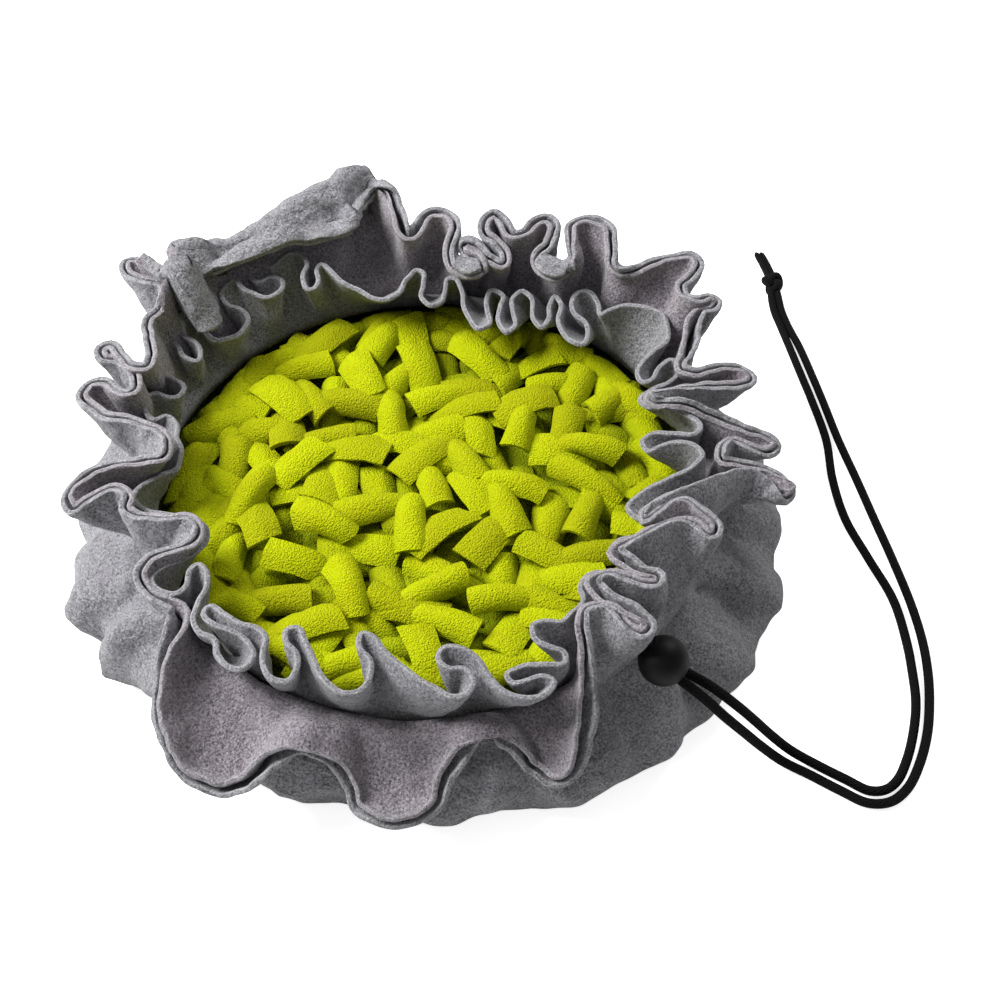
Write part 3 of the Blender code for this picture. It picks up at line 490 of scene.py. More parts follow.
class Finish:
    """A material being built round its one surface shader."""

    def __init__(self, name, **constants):
        self.material = bpy.data.materials.new(name)
        self.material.use_nodes = True
        self.tree = self.material.node_tree
        self.surface = self.tree.nodes["Principled BSDF"]
        self.feed(self.surface, constants)

    def feed(self, node, values):
        """Set or wire a node's sockets, named with _ for a space or numbered."""
        for key, value in values.items():
            place = node.inputs[key.replace("_", " ") if isinstance(key, str) else key]
            if isinstance(value, Wire):
                self.tree.links.new(value.socket, place)
            elif place.type == "RGBA":
                place.default_value = (*tuple(value)[:3], 1.0)
            else:
                place.default_value = value

    def add(self, kind, options, values, output=0):
        """Any node: its settings first, then the values or wires of its sockets."""
        node = self.tree.nodes.new(kind)
        for name, value in options.items():
            setattr(node, name, value)
        self.feed(node, values)
        return Wire(self, node.outputs[output])

    def place(self):
        return self.add("ShaderNodeTexCoord", {}, {}, "Object")

    def uv(self, axis):
        along = self.add("ShaderNodeTexCoord", {}, {}, "UV")
        return self.add("ShaderNodeSeparateXYZ", {}, {"Vector": along}, axis)

    def attribute(self, name):
        return self.add("ShaderNodeAttribute", {"attribute_name": name}, {}, "Fac")

    def noise(self, vector, scale, detail, roughness=0.5):
        return self.add("ShaderNodeTexNoise", {}, {"Vector": vector, "Scale": scale,
                                                   "Detail": detail, "Roughness": roughness})

    def cells(self, vector, scale):
        return self.add("ShaderNodeTexVoronoi", {"feature": "F1"},
                        {"Vector": vector, "Scale": scale}, "Distance")

    def blend(self, share, first, second):
        """A colour from the first to the second. Its sockets 6, 7 and 2 are the colours."""
        return self.add("ShaderNodeMix", {"data_type": "RGBA", "clamp_factor": True},
                        {0: share, 6: first, 7: second}, 2)

    def bump(self, height, distance, strength):
        return self.add("ShaderNodeBump", {}, {"Height": height, "Distance": distance,
                                               "Strength": strength})

    def give(self, piece):
        piece.data.materials.clear()
        piece.data.materials.append(self.material)


# Depth of the bag's soft dents against its nap, and the mauve patches of the lining
BAG_DENTS = 9.0
MAUVE_TINT = (0.2, 0.165, 0.195)


def grey_fleece(name, colour, tint, dents=0.0):
    """Heathered grey fleece with a pilled nap, pale fluff and a painted highlight along its cut
    edges, and soft dents.
    """
    cloth = settings().cloth
    finish = Finish(name, Roughness=0.95, Sheen_Weight=0.25, Sheen_Roughness=0.5,
                    Specular_IOR_Level=0.12)
    place = finish.place()
    clouds = finish.noise(place, 160, 5, 0.65)
    heather = finish.noise(place, 950, 4, 0.8)
    nap = finish.noise(place, 2100, 3, 0.7)
    pills = finish.cells(place, 900)
    dark = [value * 0.3 for value in colour]
    light = [min(1.0, value * 1.8) for value in colour]
    base = finish.blend(heather.between(0.33, 0.67), dark, light)
    base = finish.blend(clouds.between(0.5, 0.66) * 0.45, base, tint)
    base = finish.blend(nap.between(0.54, 0.7) * 0.5, base, cloth.fluff_and_highlight)
    # Painted highlight: the cut edges' pale fluff, brightest on their two corners
    cut = finish.attribute("cut")
    fluff_and_highlight = finish.blend(nap.between(0.4, 0.6), [v * 0.9 for v in colour], cloth.fluff_and_highlight)
    base = finish.blend(cut * 0.8, base, fluff_and_highlight)
    height = clouds * 1.1 + heather * 0.6 + nap * 0.25 + (1 - pills) * 0.3
    if dents:
        height = height + finish.noise(place, 42, 3, 0.6) * dents
    finish.feed(finish.surface, {"Base Color": base, "Normal": finish.bump(height, 0.0016, 0.9)})
    return finish


def lime_fleece():
    """Pebbly lime fleece, darker between its pills, with painted shade on low strips and the
    backing.
    """
    strips = settings().strips
    finish = Finish("lime_fleece", Roughness=0.95, Specular_IOR_Level=0.08)
    place = finish.place()
    pills = finish.cells(place, 1150)
    nap = finish.noise(place, 2600, 3, 0.65)
    patches = finish.noise(place, 60, 2)
    base = finish.blend(nap.between(0.2, 0.6) * 0.5 + 0.5, strips.shade, strips.colour)
    warm = [strips.colour[0] * 0.86, strips.colour[1] * 0.74, strips.colour[2]]
    base = finish.blend(patches.between(0.5, 0.75) * 0.5, base, warm)
    olive = [strips.colour[0] * 0.62, strips.colour[1] * 0.56, strips.colour[2]]
    base = finish.blend(finish.attribute("olive") * 0.7, base, olive)
    # Painted shade: the lower a strip's point lies, the nearer its colour comes to the shaded fleece
    low = finish.attribute("depth")
    base = finish.blend(low * 0.75, base, strips.shade)
    height = nap * 0.5 + (1 - pills) * 0.7
    finish.feed(finish.surface, {"Base Color": base, "Normal": finish.bump(height, 0.0014, 0.95)})
    return finish


# Yarns that show round the braid, and radians of their wave for each metre along it
YARNS_ROUND = 8
YARN_RATE = 2600


def braided_cord():
    """Fine black braid: two sets of yarns that wind round the cord in opposite turns."""
    cord = settings().cord
    finish = Finish("braided_cord", Roughness=0.85, Specular_IOR_Level=0.12)
    turn = finish.uv("X") * (2 * math.pi * YARNS_ROUND)
    run = finish.uv("Y") * YARN_RATE
    yarns = (turn + run).sine().math("MAXIMUM", (turn - run).sine())
    # Painted highlight on the crests of the yarns
    yarn_highlight = [value * 3.0 for value in cord.colour]
    base = finish.blend(yarns.between(-0.2, 1.0) * 0.6, cord.colour, yarn_highlight)
    finish.feed(finish.surface, {"Base Color": base, "Normal": finish.bump(yarns, 0.00025, 0.8)})
    return finish


def satin_plastic():
    """Black moulded plastic with a faint spark-eroded grain."""
    cord = settings().cord
    finish = Finish("satin_plastic", Specular_IOR_Level=0.16)
    grain = finish.noise(finish.place(), 2400, 2, 0.6)
    finish.feed(finish.surface, {
        "Base Color": finish.blend(grain * 0.4, cord.plastic, [v * 2 for v in cord.plastic]),
        "Roughness": grain * 0.2 + 0.42,
        "Normal": finish.bump(grain, 0.00006, 0.5)})
    return finish


# Shapes

def polar(angle, radius):
    """Points in plan at angles in radians and at a radius."""
    return np.stack([radius * np.cos(angle), radius * np.sin(angle)], axis=-1)


def level_ring(angles, radius, height, centre=(0.0, 0.0)):
    """Ring of points at one height, round a centre in plan."""
    return np.column_stack([polar(angles, radius) + centre, np.full(len(angles), height)])


def unit(vectors):
    return vectors / np.maximum(np.linalg.norm(vectors, axis=-1, keepdims=True), 1e-9)


def smooth_loop(points, steps):
    """Closed centripetal Catmull-Rom curve through the points, with steps samples from each."""
    before, start, end, after = (np.roll(points, shift, axis=0) for shift in (1, 0, -1, -2))
    knots = [np.zeros((len(points), 1))]
    for first, second in ((before, start), (start, end), (end, after)):
        gap = np.sqrt(np.linalg.norm(second - first, axis=1, keepdims=True))
        knots.append(knots[-1] + np.maximum(gap, 1e-6))
    k0, k1, k2, k3 = knots
    samples = []
    for step in range(steps):
        t = k1 + (k2 - k1) * step / steps
        a1 = (k1 - t) / (k1 - k0) * before + (t - k0) / (k1 - k0) * start
        a2 = (k2 - t) / (k2 - k1) * start + (t - k1) / (k2 - k1) * end
        a3 = (k3 - t) / (k3 - k2) * end + (t - k2) / (k3 - k2) * after
        b1 = (k2 - t) / (k2 - k0) * a1 + (t - k0) / (k2 - k0) * a2
        b2 = (k3 - t) / (k3 - k1) * a2 + (t - k1) / (k3 - k1) * a3
        samples.append((k2 - t) / (k2 - k1) * b1 + (t - k1) / (k2 - k1) * b2)
    return np.stack(samples, axis=1).reshape(-1, points.shape[1])


def smooth_route(points, spacing):
    """Points about as far apart as the spacing along a smooth curve through a route."""
    route = np.array(points, float)
    padded = np.vstack([2 * route[0] - route[1], route, 2 * route[-1] - route[-2]])
    closed = smooth_loop(padded, CURVE_STEPS)
    fine = closed[CURVE_STEPS:CURVE_STEPS * (len(padded) - 2) + 1]
    run = np.concatenate([[0.0], np.cumsum(np.linalg.norm(np.diff(fine, axis=0), axis=1))])
    count = max(2, round(run[-1] / spacing) + 1)
    marks = np.linspace(0, run[-1], count)
    return np.column_stack([np.interp(marks, run, fine[:, k]) for k in range(3)])


def ripple(points, size, seed):
    """Smooth uneven values from -1 to 1 at points in mm, with lumps of about that size."""
    chance = np.random.default_rng(seed)
    total = np.zeros(points.shape[:-1])
    for _ in range(14):
        way = unit(chance.normal(size=3)) * chance.uniform(0.7, 1.5) * 2 * math.pi / size
        total += np.sin(points @ way + chance.uniform(0, 2 * math.pi))
    return total / math.sqrt(14)


def link_mesh(name, points, faces, point_values=None, uvs=None):
    """Link a mesh given in mm, smooth, with point attributes and a UV for each corner."""
    mesh = bpy.data.meshes.new(name)
    mesh.from_pydata((np.asarray(points) * MM).tolist(), [], faces)
    for key, values in (point_values or {}).items():
        mesh.attributes.new(key, "FLOAT", "POINT").data.foreach_set(
            "value", np.asarray(values, np.float32))
    if uvs is not None:
        mesh.uv_layers.new(name="UVMap").data.foreach_set(
            "uv", np.asarray(uvs, np.float32).ravel())
    mesh.shade_smooth()
    piece = bpy.data.objects.new(name, mesh)
    bpy.context.collection.objects.link(piece)
    return piece


def turn_outwards(piece):
    """Make a closed mesh's faces point outwards."""
    shell = bmesh.new()
    shell.from_mesh(piece.data)
    bmesh.ops.recalc_face_normals(shell, faces=shell.faces)
    shell.to_mesh(piece.data)
    shell.free()


# Grey cloth

def cloth_edge(points, count):
    """Even samples along a closed edge, with its other columns eased from row to row."""
    table = np.array(points, float)
    fine = smooth_loop(table[:, :3], CURVE_STEPS)
    fine = np.vstack([fine, fine[:1]])
    run = np.concatenate([[0.0], np.cumsum(np.linalg.norm(np.diff(fine, axis=0), axis=1))])
    marks = np.linspace(0, run[-1], count, endpoint=False)
    edge = np.column_stack([np.interp(marks, run, fine[:, k]) for k in range(3)])
    knots = np.append(run[:-1:CURVE_STEPS], run[-1])
    rest = [np.interp(marks, knots, np.append(table[:, k], table[0, k]))
            for k in range(3, table.shape[1])]
    return edge, rest


def foot_angles(edge):
    """Angles at which the cloth under each sample of an edge leaves the neck. Where the
    edge doubles back, the steps between them are evened out over a widening stretch."""
    turn = np.unwrap(np.arctan2(edge[:, 1] - NECK_CENTRE[1], edge[:, 0] - NECK_CENTRE[0]))
    gaps = turn - np.append(turn[1:], turn[0] - 2 * math.pi)
    mean = gaps.mean()
    blur = 4
    while gaps.min() < LEAST_FOOT_STEP * mean:
        spread = np.concatenate([[0.0], np.cumsum(np.tile(gaps, 3))])
        gaps = (spread[len(turn) + blur:2 * len(turn) + blur]
                - spread[len(turn) - blur:2 * len(turn) - blur]) / (2 * blur)
        blur += 4
    steps = np.concatenate([[0.0], np.cumsum(gaps[:-1])])
    return steps.mean() - steps + turn.mean()


def neck_ring(angles, inset, height):
    """Ring round the neck at a height, inset from the drawstring's radius."""
    front = np.exp(-(((np.degrees(angles) + 270) % 360 - 180) / NECK_FRONT_SPREAD) ** 2)
    ring = polar(angles, NECK_RADIUS - inset + NECK_LEAN * front) + NECK_CENTRE
    return np.column_stack([ring, height - NECK_DIP * front])


def folded_surface(edge, arch, foot, stations):
    """Rings of points from the cloth's foot to its folded edge, arched between the two.
    Where the edge stands high, a low arch is highest near it. Where the cloth hangs
    outwards, its edge turns up, by more the farther it reaches and the lower it hangs."""
    outward = unit((foot - (*NECK_CENTRE, 0.0)) * (1, 1, 0))
    chord = edge - foot
    hanging = np.clip(1 - chord[:, 2] / HANGING_RISE, 0, 1)
    lean = (1 - 0.85 * hanging)[:, None]
    lift = unit(outward * lean + (0.0, 0.0, 1.0)) * arch[:, None]
    standing = np.clip(chord[:, 2] / STANDING_RISE, 0, 1)
    late = (1 + standing * (0.4 + 0.3 * np.clip((18 - arch) / 10, 0, 1)))[:, None]
    reach = np.linalg.norm(chord[:, :2], axis=1)
    lip = 0.6 - 0.4 * np.clip(arch / 6, 0, 1)
    wanted = (lip * reach - chord[:, 2] + 3.1 * arch) * hanging
    upturn = np.clip(wanted / 5, 0, 10)[:, None] * (0.0, 0.0, 1.0)
    power = (1 + 0.3 * standing)[:, None]
    rings = []
    for v in stations:
        spread = np.hstack([1 - (1 - v) ** power] * 2 + [np.full_like(power, v)])
        rings.append(foot + chord * spread + lift * np.sin(math.pi * v ** late)
                     + upturn * (v ** 6 - v))
    return rings


def normals(rings):
    """Directions out of the bowl at every point of a stack of equal rings."""
    stack = np.stack(rings)
    up = np.gradient(stack, axis=0)
    along = np.roll(stack, -1, axis=1) - np.roll(stack, 1, axis=1)
    return unit(np.cross(unit(up), unit(along)))


def untangled(ring, guide):
    """A ring offset from its guide, with its points drawn together where it ran backwards."""
    for _ in range(12):
        ahead = np.roll(ring, -1, axis=0) - ring
        meant = np.roll(guide, -1, axis=0) - guide
        back = (ahead * meant).sum(axis=1) < 0.15 * (meant * meant).sum(axis=1)
        moved = (back | np.roll(back, 1))[:, None]
        if not moved.any():
            break
        middle = (np.roll(ring, 1, axis=0) + np.roll(ring, -1, axis=0)) / 2
        ring = np.where(moved, middle, ring)
    return ring


def ply(middle, facing, near, far, tip):
    """Two faces of one ply and the rings round its cut edge. The offsets are from the
    middle surface, and tip is the direction out of the cloth at its edge."""
    thick = far[-1] - near[-1]
    first = [untangled(ring + normal * offset, ring)
             for ring, normal, offset in zip(middle, facing, near)]
    second = [untangled(ring + normal * offset, ring)
              for ring, normal, offset in zip(middle, facing, far)]
    rounding = []
    for share, lift in EDGE_ROUNDING:
        offset = near[-1] + thick * share
        rounding.append(untangled(middle[-1] + facing[-1] * offset + tip * lift, middle[-1]))
    return first, rounding, second


def uneven_gathers(angles, count, sway, sways, swell, swells):
    """Waves round the neck, as many as the count, whose spacing sways and depth swells."""
    return (np.sin(count * angles + sway * np.sin(sways * angles))
            * (1 + swell * np.sin(swells * angles)))


def awning_creases(ring):
    """How far down the creases press the broad fold at the back left."""
    total = np.zeros(len(ring))
    for x0, y0, x1, y1, depth, width in AWNING_CREASES:
        start, way = np.array((x0, y0)), np.array((x1 - x0, y1 - y0))
        along = np.clip((ring[:, :2] - start) @ way / (way @ way), 0, 1)
        away = np.linalg.norm(ring[:, :2] - start - along[:, None] * way, axis=1)
        total += depth * np.exp(-(away / width) ** 2)
    return total * np.clip((ring[:, 2] - AWNING_LEAST_HEIGHT) / 5, 0, 1)


def rim_plies(count):
    """Foot angles, and the faces and edge of the rim's plies: the outer cloth's, the lining's."""
    cloth = settings().cloth
    edge, (arch, rest) = cloth_edge(RIM_EDGE, count)
    angles = foot_angles(edge)
    foot = neck_ring(angles, 0.0, CHANNEL_TOP)
    low = neck_ring(angles, 0.0, CHANNEL_FOOT)
    middle = [low, (low + foot) / 2, *folded_surface(edge, arch, foot, RIM_STATIONS)]
    facing = normals(middle)
    share = (0.0, 0.0, *RIM_STATIONS)
    number, depth = RIM_GATHERS
    gathers = uneven_gathers(angles, number, 3, 7, 0.5, 5) * depth
    middle = [ring + normal * ((ripple(ring, 21, 3) * 0.7 + ripple(ring, 8, 4) * 0.25)
                               * min(1, v * 4) + gathers * v * math.exp(-5 * v))[:, None]
              for ring, normal, v in zip(middle, facing, share)]
    middle = [ring - awning_creases(ring)[:, None] * (0.0, 0.0, 1.0 if v < 0.94 else 0.4)
              for ring, v in zip(middle, share)]
    facing = normals(middle)
    tip = unit(middle[-1] - middle[-2])
    plies = []
    for side in (1, -1):
        near = [side * (cloth.ply_gap / MM + rest[:, None] * v ** 3) / 2 for v in share]
        far = [offset + side * cloth.thickness / MM for offset in near]
        plies.append(ply(middle, facing, near, far, tip))
    return angles, plies


def bag_bulge(angles):
    """The bag's fullest radius at angles in radians."""
    table = np.array(BAG_BULGE, float)
    return np.interp(np.degrees(angles) % 360, table[:, 0], table[:, 1], period=360)


def wall_creases(angles, height):
    """How far the creases push the bag's wall out at a height."""
    turn = np.degrees(angles)
    total = np.zeros(len(angles))
    share = height / CHANNEL_FOOT
    for at_neck, at_floor, depth, width, lowest, highest in WALL_CREASES:
        centre = at_neck * share + at_floor * (1 - share)
        away = (turn - centre + 180) % 360 - 180
        rise = min(max((height - lowest) / 12 + 0.3, 0.1), 1)
        fall = min(max((highest - height) / 6, 0), 1)
        total += depth * rise * fall * np.exp(-(away / width) ** 2)
    return total


def wall_presses(angles, height):
    """How far the pockets of the rim press the bag's wall in at a height."""
    turn = np.degrees(angles)
    total = sum(depth * np.exp(-((turn - at + 180) % 360 - 180) ** 2 / width ** 2)
                for at, depth, width in WALL_PRESSES)
    return total * math.sin(math.pi * (height / CHANNEL_FOOT) ** 2)


def wall_rings(angles, levels):
    """Rings of the bag's outside from the middle of its bottom to the channel."""
    bulge = bag_bulge(angles)
    smooth = sum(np.roll(bulge, shift) for shift in range(-12, 13)) / 25
    first, second = WALL_WAVES
    waves = WALL_WAVE_DEPTH * (0.6 * np.sin(first * angles) + 0.4 * np.sin(second * angles + 1.0))
    number, depth = WALL_GATHERS
    gathers = uneven_gathers(angles, number, 2.5, 5, 0.6, 9) * depth
    table = np.array(WALL_PROFILE)
    run = np.concatenate([[0], np.cumsum(np.hypot(
        np.diff(table[:, 0] + table[:, 1] * WALL_WAY_IN), np.diff(table[:, 2])))])
    rings = []
    for mark in np.linspace(0, run[-1], levels):
        inset, share, height = (np.interp(mark, run, table[:, k]) for k in range(3))
        radius = smooth - inset + waves * height / CHANNEL_FOOT
        ring = level_ring(angles, radius, height)
        ring = ring * (1 - share) + neck_ring(angles, 0.0, height) * share
        high = height / CHANNEL_FOOT * min(1, (CHANNEL_FOOT - height) / 6)
        push_out = gathers * high + wall_creases(angles, height) - wall_presses(angles, height)
        rings.append(ring + unit(ring * (1, 1, 0)) * push_out[:, None])
    return rings


def closed_cloth(name, rings, fluff_and_highlight, capped):
    """Mesh from rings of equal length that run round a cloth's whole section. A capped
    cloth has a bottom across its first and last rings, and an open one joins them. The
    map gives the number of a ring its share of a cut edge's pale fluff and painted highlight."""
    count = len(rings[0])
    points = np.concatenate(rings)
    cut = np.zeros(len(points))
    for index, value in fluff_and_highlight.items():
        cut[index * count:(index + 1) * count] = value
    faces = []
    around = np.arange(count)
    onward = (around + 1) % count
    for level in range(len(rings) - capped):
        low, high = level * count, (level + 1) % len(rings) * count
        faces += np.column_stack([low + around, low + onward,
                                  high + onward, high + around]).tolist()
    if capped:
        for level in (0, len(rings) - 1):
            start = level * count
            hub = np.full(count, len(points))
            points = np.vstack([points, points[start:start + count].mean(axis=0)])
            cut = np.append(cut, 0.0)
            faces += np.column_stack([hub, start + around, start + onward]).tolist()
    piece = link_mesh(name, points, faces, {"cut": cut})
    turn_outwards(piece)
    return piece


def fluff_and_highlight_rings(first):
    """Pale fluff and painted highlight on the rings round a cut edge, whose first ring has this
    number.
    """
    return dict(zip(range(first - 1, first + 5), FLUFF_AND_HIGHLIGHT_SHARES))


def declare_cloth(piece, node, depth=None):
    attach(piece, "root")
    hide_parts(node)
    area = sum(face.area for face in piece.data.polygons) / 2
    across = 2 * math.sqrt(area / math.pi)
    flat = (area / depth, depth) if depth else (across, across)


class SNUFFLE_OT_rim_and_bag(Operator):
    """Makes the bag with the rim's outer ply, and the lining behind it"""
    bl_idname = "snuffle.rim_and_bag"
    bl_label = "Bag and rim"

    def execute(self, context):
        cloth = settings().cloth
        angles, ((near, edge, far), lining) = rim_plies(cloth.detail)
        outside = wall_rings(angles, WALL_LEVELS)[:-1]
        outside = [ring + unit(ring * (1, 1, 0)) * min(1, ring[0, 2] / 6)
                   * (ripple(ring, 26, 8) * 1.3 + ripple(ring, 11, 9) * 0.5)[:, None]
                   for ring in outside]
        inward = normals(outside)
        inside = [ring - normal * cloth.thickness / MM for ring, normal in zip(outside, inward)]
        section = outside + far + edge[::-1] + near[::-1] + inside[::-1]
        bag = closed_cloth("bag_fleece", section, fluff_and_highlight_rings(len(outside) + len(far)), capped=True)
        grey_fleece("outer_fleece", cloth.outer, cloth.lining, BAG_DENTS).give(bag)
        declare_cloth(bag, "outer_cloth")

        near, edge, far = lining
        section = near + edge + far[::-1]
        inner = closed_cloth("lining_fleece", section, fluff_and_highlight_rings(len(near)), capped=False)
        grey_fleece("lining_fleece", cloth.lining, MAUVE_TINT).give(inner)
        declare_cloth(inner, "lining_cloth", LINING_DEPTH)
        return {"FINISHED"}


class SNUFFLE_OT_frill(Operator):
    """Makes the single-ply frill inside the rim"""
    bl_idname = "snuffle.frill"
    bl_label = "Frill"

    def execute(self, context):
        cloth = settings().cloth
        edge, (arch,) = cloth_edge(FRILL_EDGE, cloth.detail)
        half = cloth.thickness / MM / 2
        inset = cloth.ply_gap / MM / 2 + cloth.thickness / MM + cloth.seam_gap / MM + half
        angles = foot_angles(edge)
        foot = neck_ring(angles, inset, FRILL_FOOT_HEIGHT)
        middle = [neck_ring(angles, inset, CHANNEL_FOOT),
                  *folded_surface(edge, arch, foot, FRILL_STATIONS)]
        share = (0.0, *FRILL_STATIONS)
        facing = normals(middle)
        middle = [ring + normal * (ripple(ring, 13, 21) * 0.4)[:, None] * min(1, v * 3)
                  for ring, normal, v in zip(middle, facing, share)]
        facing = normals(middle)
        tip = unit(middle[-1] - middle[-2])
        offsets = [np.full((len(foot), 1), half) for _ in share]
        near, edge, far = ply(middle, facing, [-o for o in offsets], offsets, tip)
        section = near + edge + far[::-1]
        frill = closed_cloth("frill_fleece", section, fluff_and_highlight_rings(len(near)), capped=False)
        grey_fleece("frill_fleece", cloth.outer, cloth.lining).give(frill)
        declare_cloth(frill, "inner_frill", FRILL_DEPTH)
        return {"FINISHED"}


# Lime strips

# A strip's tip, the way it points, its length and width, its bends and its roll
Strip = namedtuple("Strip", "x y z heading length width curl rise droop pinch skew roll")


def strip_sheet(strip):
    """Middle surface of one strip. It climbs from its root, bends over and ends at its cut
    tip at the origin, heading along x. It curls across its width like a leaf."""
    across = np.linspace(-0.5, 0.5, 13)
    along = np.linspace(0.0, 1.0, 9)
    pitch = strip.rise + (strip.droop - strip.rise) * along ** 0.8
    step = strip.length / (len(along) - 1)
    line_x = np.concatenate([[0.0], np.cumsum(np.cos(pitch[1:]) * step)])
    line_z = np.concatenate([[0.0], np.cumsum(np.sin(pitch[1:]) * step)])
    u, t = np.meshgrid(across, along, indexing="ij")
    span = strip.width * (1 - strip.pinch * (1 - t))
    turn = strip.curl * (1.35 - 0.35 * t)
    radius = span / turn
    sag = radius * (np.cos(u * turn) - 1)
    y = radius * np.sin(u * turn)
    x = line_x - line_x[-1] - sag * np.sin(pitch) + strip.skew * y * t
    z = line_z - line_z[-1] + sag * np.cos(pitch)
    return np.stack([x, y, z], axis=-1)


def strip_body(middle, thickness):
    """Closed points and faces of an open sheet with slightly rounded cut sides."""
    du = np.gradient(middle, axis=0)
    dv = np.gradient(middle, axis=1)
    normal = unit(np.cross(dv, du))
    upper = middle + normal * thickness / 2
    lower = middle - normal * thickness / 2
    rows, columns = middle.shape[:2]
    points = np.concatenate([upper.reshape(-1, 3), lower.reshape(-1, 3)])
    faces = []
    half = rows * columns
    for i in range(rows - 1):
        for j in range(columns - 1):
            a, b = i * columns + j, (i + 1) * columns + j
            faces.append((a, b, b + 1, a + 1))
            faces.append((half + a, half + a + 1, half + b + 1, half + b))
    rim = [(0, j) for j in range(columns)] + [(i, columns - 1) for i in range(1, rows)]
    rim += [(rows - 1, j) for j in range(columns - 2, -1, -1)]
    rim += [(i, 0) for i in range(rows - 2, 0, -1)]
    ids = [i * columns + j for i, j in rim]
    centre = len(points)
    sides = np.array([middle[place] for place in rim])
    edge = sides + unit(sides - middle.mean(axis=(0, 1))) * thickness * 0.16
    points = np.vstack([points, edge])
    for k, a in enumerate(ids):
        b = ids[(k + 1) % len(ids)]
        ea, eb = centre + k, centre + (k + 1) % len(ids)
        faces.append((a, b, eb, ea))
        faces.append((half + a, ea, eb, half + b))
    return points, faces


def turned(points, heading, roll):
    """Points turned about x by roll, then about z by heading."""
    cr, sr, ch, sh = (f(a) for a in (roll, heading) for f in (math.cos, math.sin))
    about_x = np.array([(1, 0, 0), (0, cr, -sr), (0, sr, cr)])
    about_z = np.array([(ch, -sh, 0), (sh, ch, 0), (0, 0, 1)])
    return points @ (about_z @ about_x).T


def scattered_strips(seed):
    """Strips at random, whose tips keep apart and lie over the roots of their neighbours."""
    chance = random.Random(seed)
    rows = []
    placed = []
    for apart, height in STRIP_LAYERS:
        for _ in range(STRIP_TRIES):
            turn = chance.uniform(0, 2 * math.pi)
            reach = FIELD_REACH * math.sqrt(chance.random())
            x = FIELD_CENTRE[0] + reach * math.cos(turn)
            y = FIELD_CENTRE[1] + reach * math.sin(turn)
            if any((x - px) ** 2 + (y - py) ** 2 < apart ** 2 for px, py in placed):
                continue
            placed.append((x, y))
            heading = chance.uniform(0, 2 * math.pi)
            curl = chance.choice(tuple(STRIP_WIDTHS))
            width = STRIP_WIDTHS[curl] * chance.uniform(0.85, 1.12)
            low = 3.0 * max(0.0, reach - FIELD_SHOULDER) / 16
            rows.append(Strip(
                x=x + 9 * math.cos(heading), y=y + 9 * math.sin(heading),
                z=height - low + chance.uniform(-1.6, 1.6), heading=heading,
                length=chance.uniform(29, 37), width=width, curl=curl,
                rise=chance.uniform(0.55, 0.95), droop=chance.uniform(-0.45, 0.1),
                pinch=chance.uniform(0.0, 0.25), skew=chance.uniform(-0.3, 0.3),
                roll=chance.uniform(-0.28, 0.28)))
    for k in range(EDGE_STRIPS):
        turn = 2 * math.pi * (k + chance.uniform(-0.3, 0.3)) / EDGE_STRIPS
        heading = turn + math.pi / 2 * chance.choice((-1, 1)) + chance.uniform(-0.5, 0.5)
        rows.append(Strip(
            x=FIELD_CENTRE[0] + EDGE_REACH * math.cos(turn) + 13 * math.cos(heading),
            y=FIELD_CENTRE[1] + EDGE_REACH * math.sin(turn) + 13 * math.sin(heading),
            z=chance.uniform(44.5, 49), heading=heading,
            length=chance.uniform(28, 33), width=EDGE_STRIP_WIDTH,
            curl=chance.choice((1.5, 2.2, 2.8)),
            rise=0.7, droop=chance.uniform(-0.4, 0.0),
            pinch=0.1, skew=chance.uniform(-0.2, 0.2),
            roll=chance.uniform(-0.2, 0.2)))
    return rows


def kept_inside(points):
    """A strip's points, moved in as one until none passes the frill or the bag's wall."""
    apart = points[:, :2] - NECK_CENTRE
    out = np.linalg.norm(apart, axis=1)
    over = out - np.where(points[:, 2] > NARROWING_HEIGHT, REACH_ABOVE, REACH_BELOW)
    worst = over.argmax()
    if over[worst] > 0:
        points[:, :2] -= apart[worst] / out[worst] * over[worst]
    return points


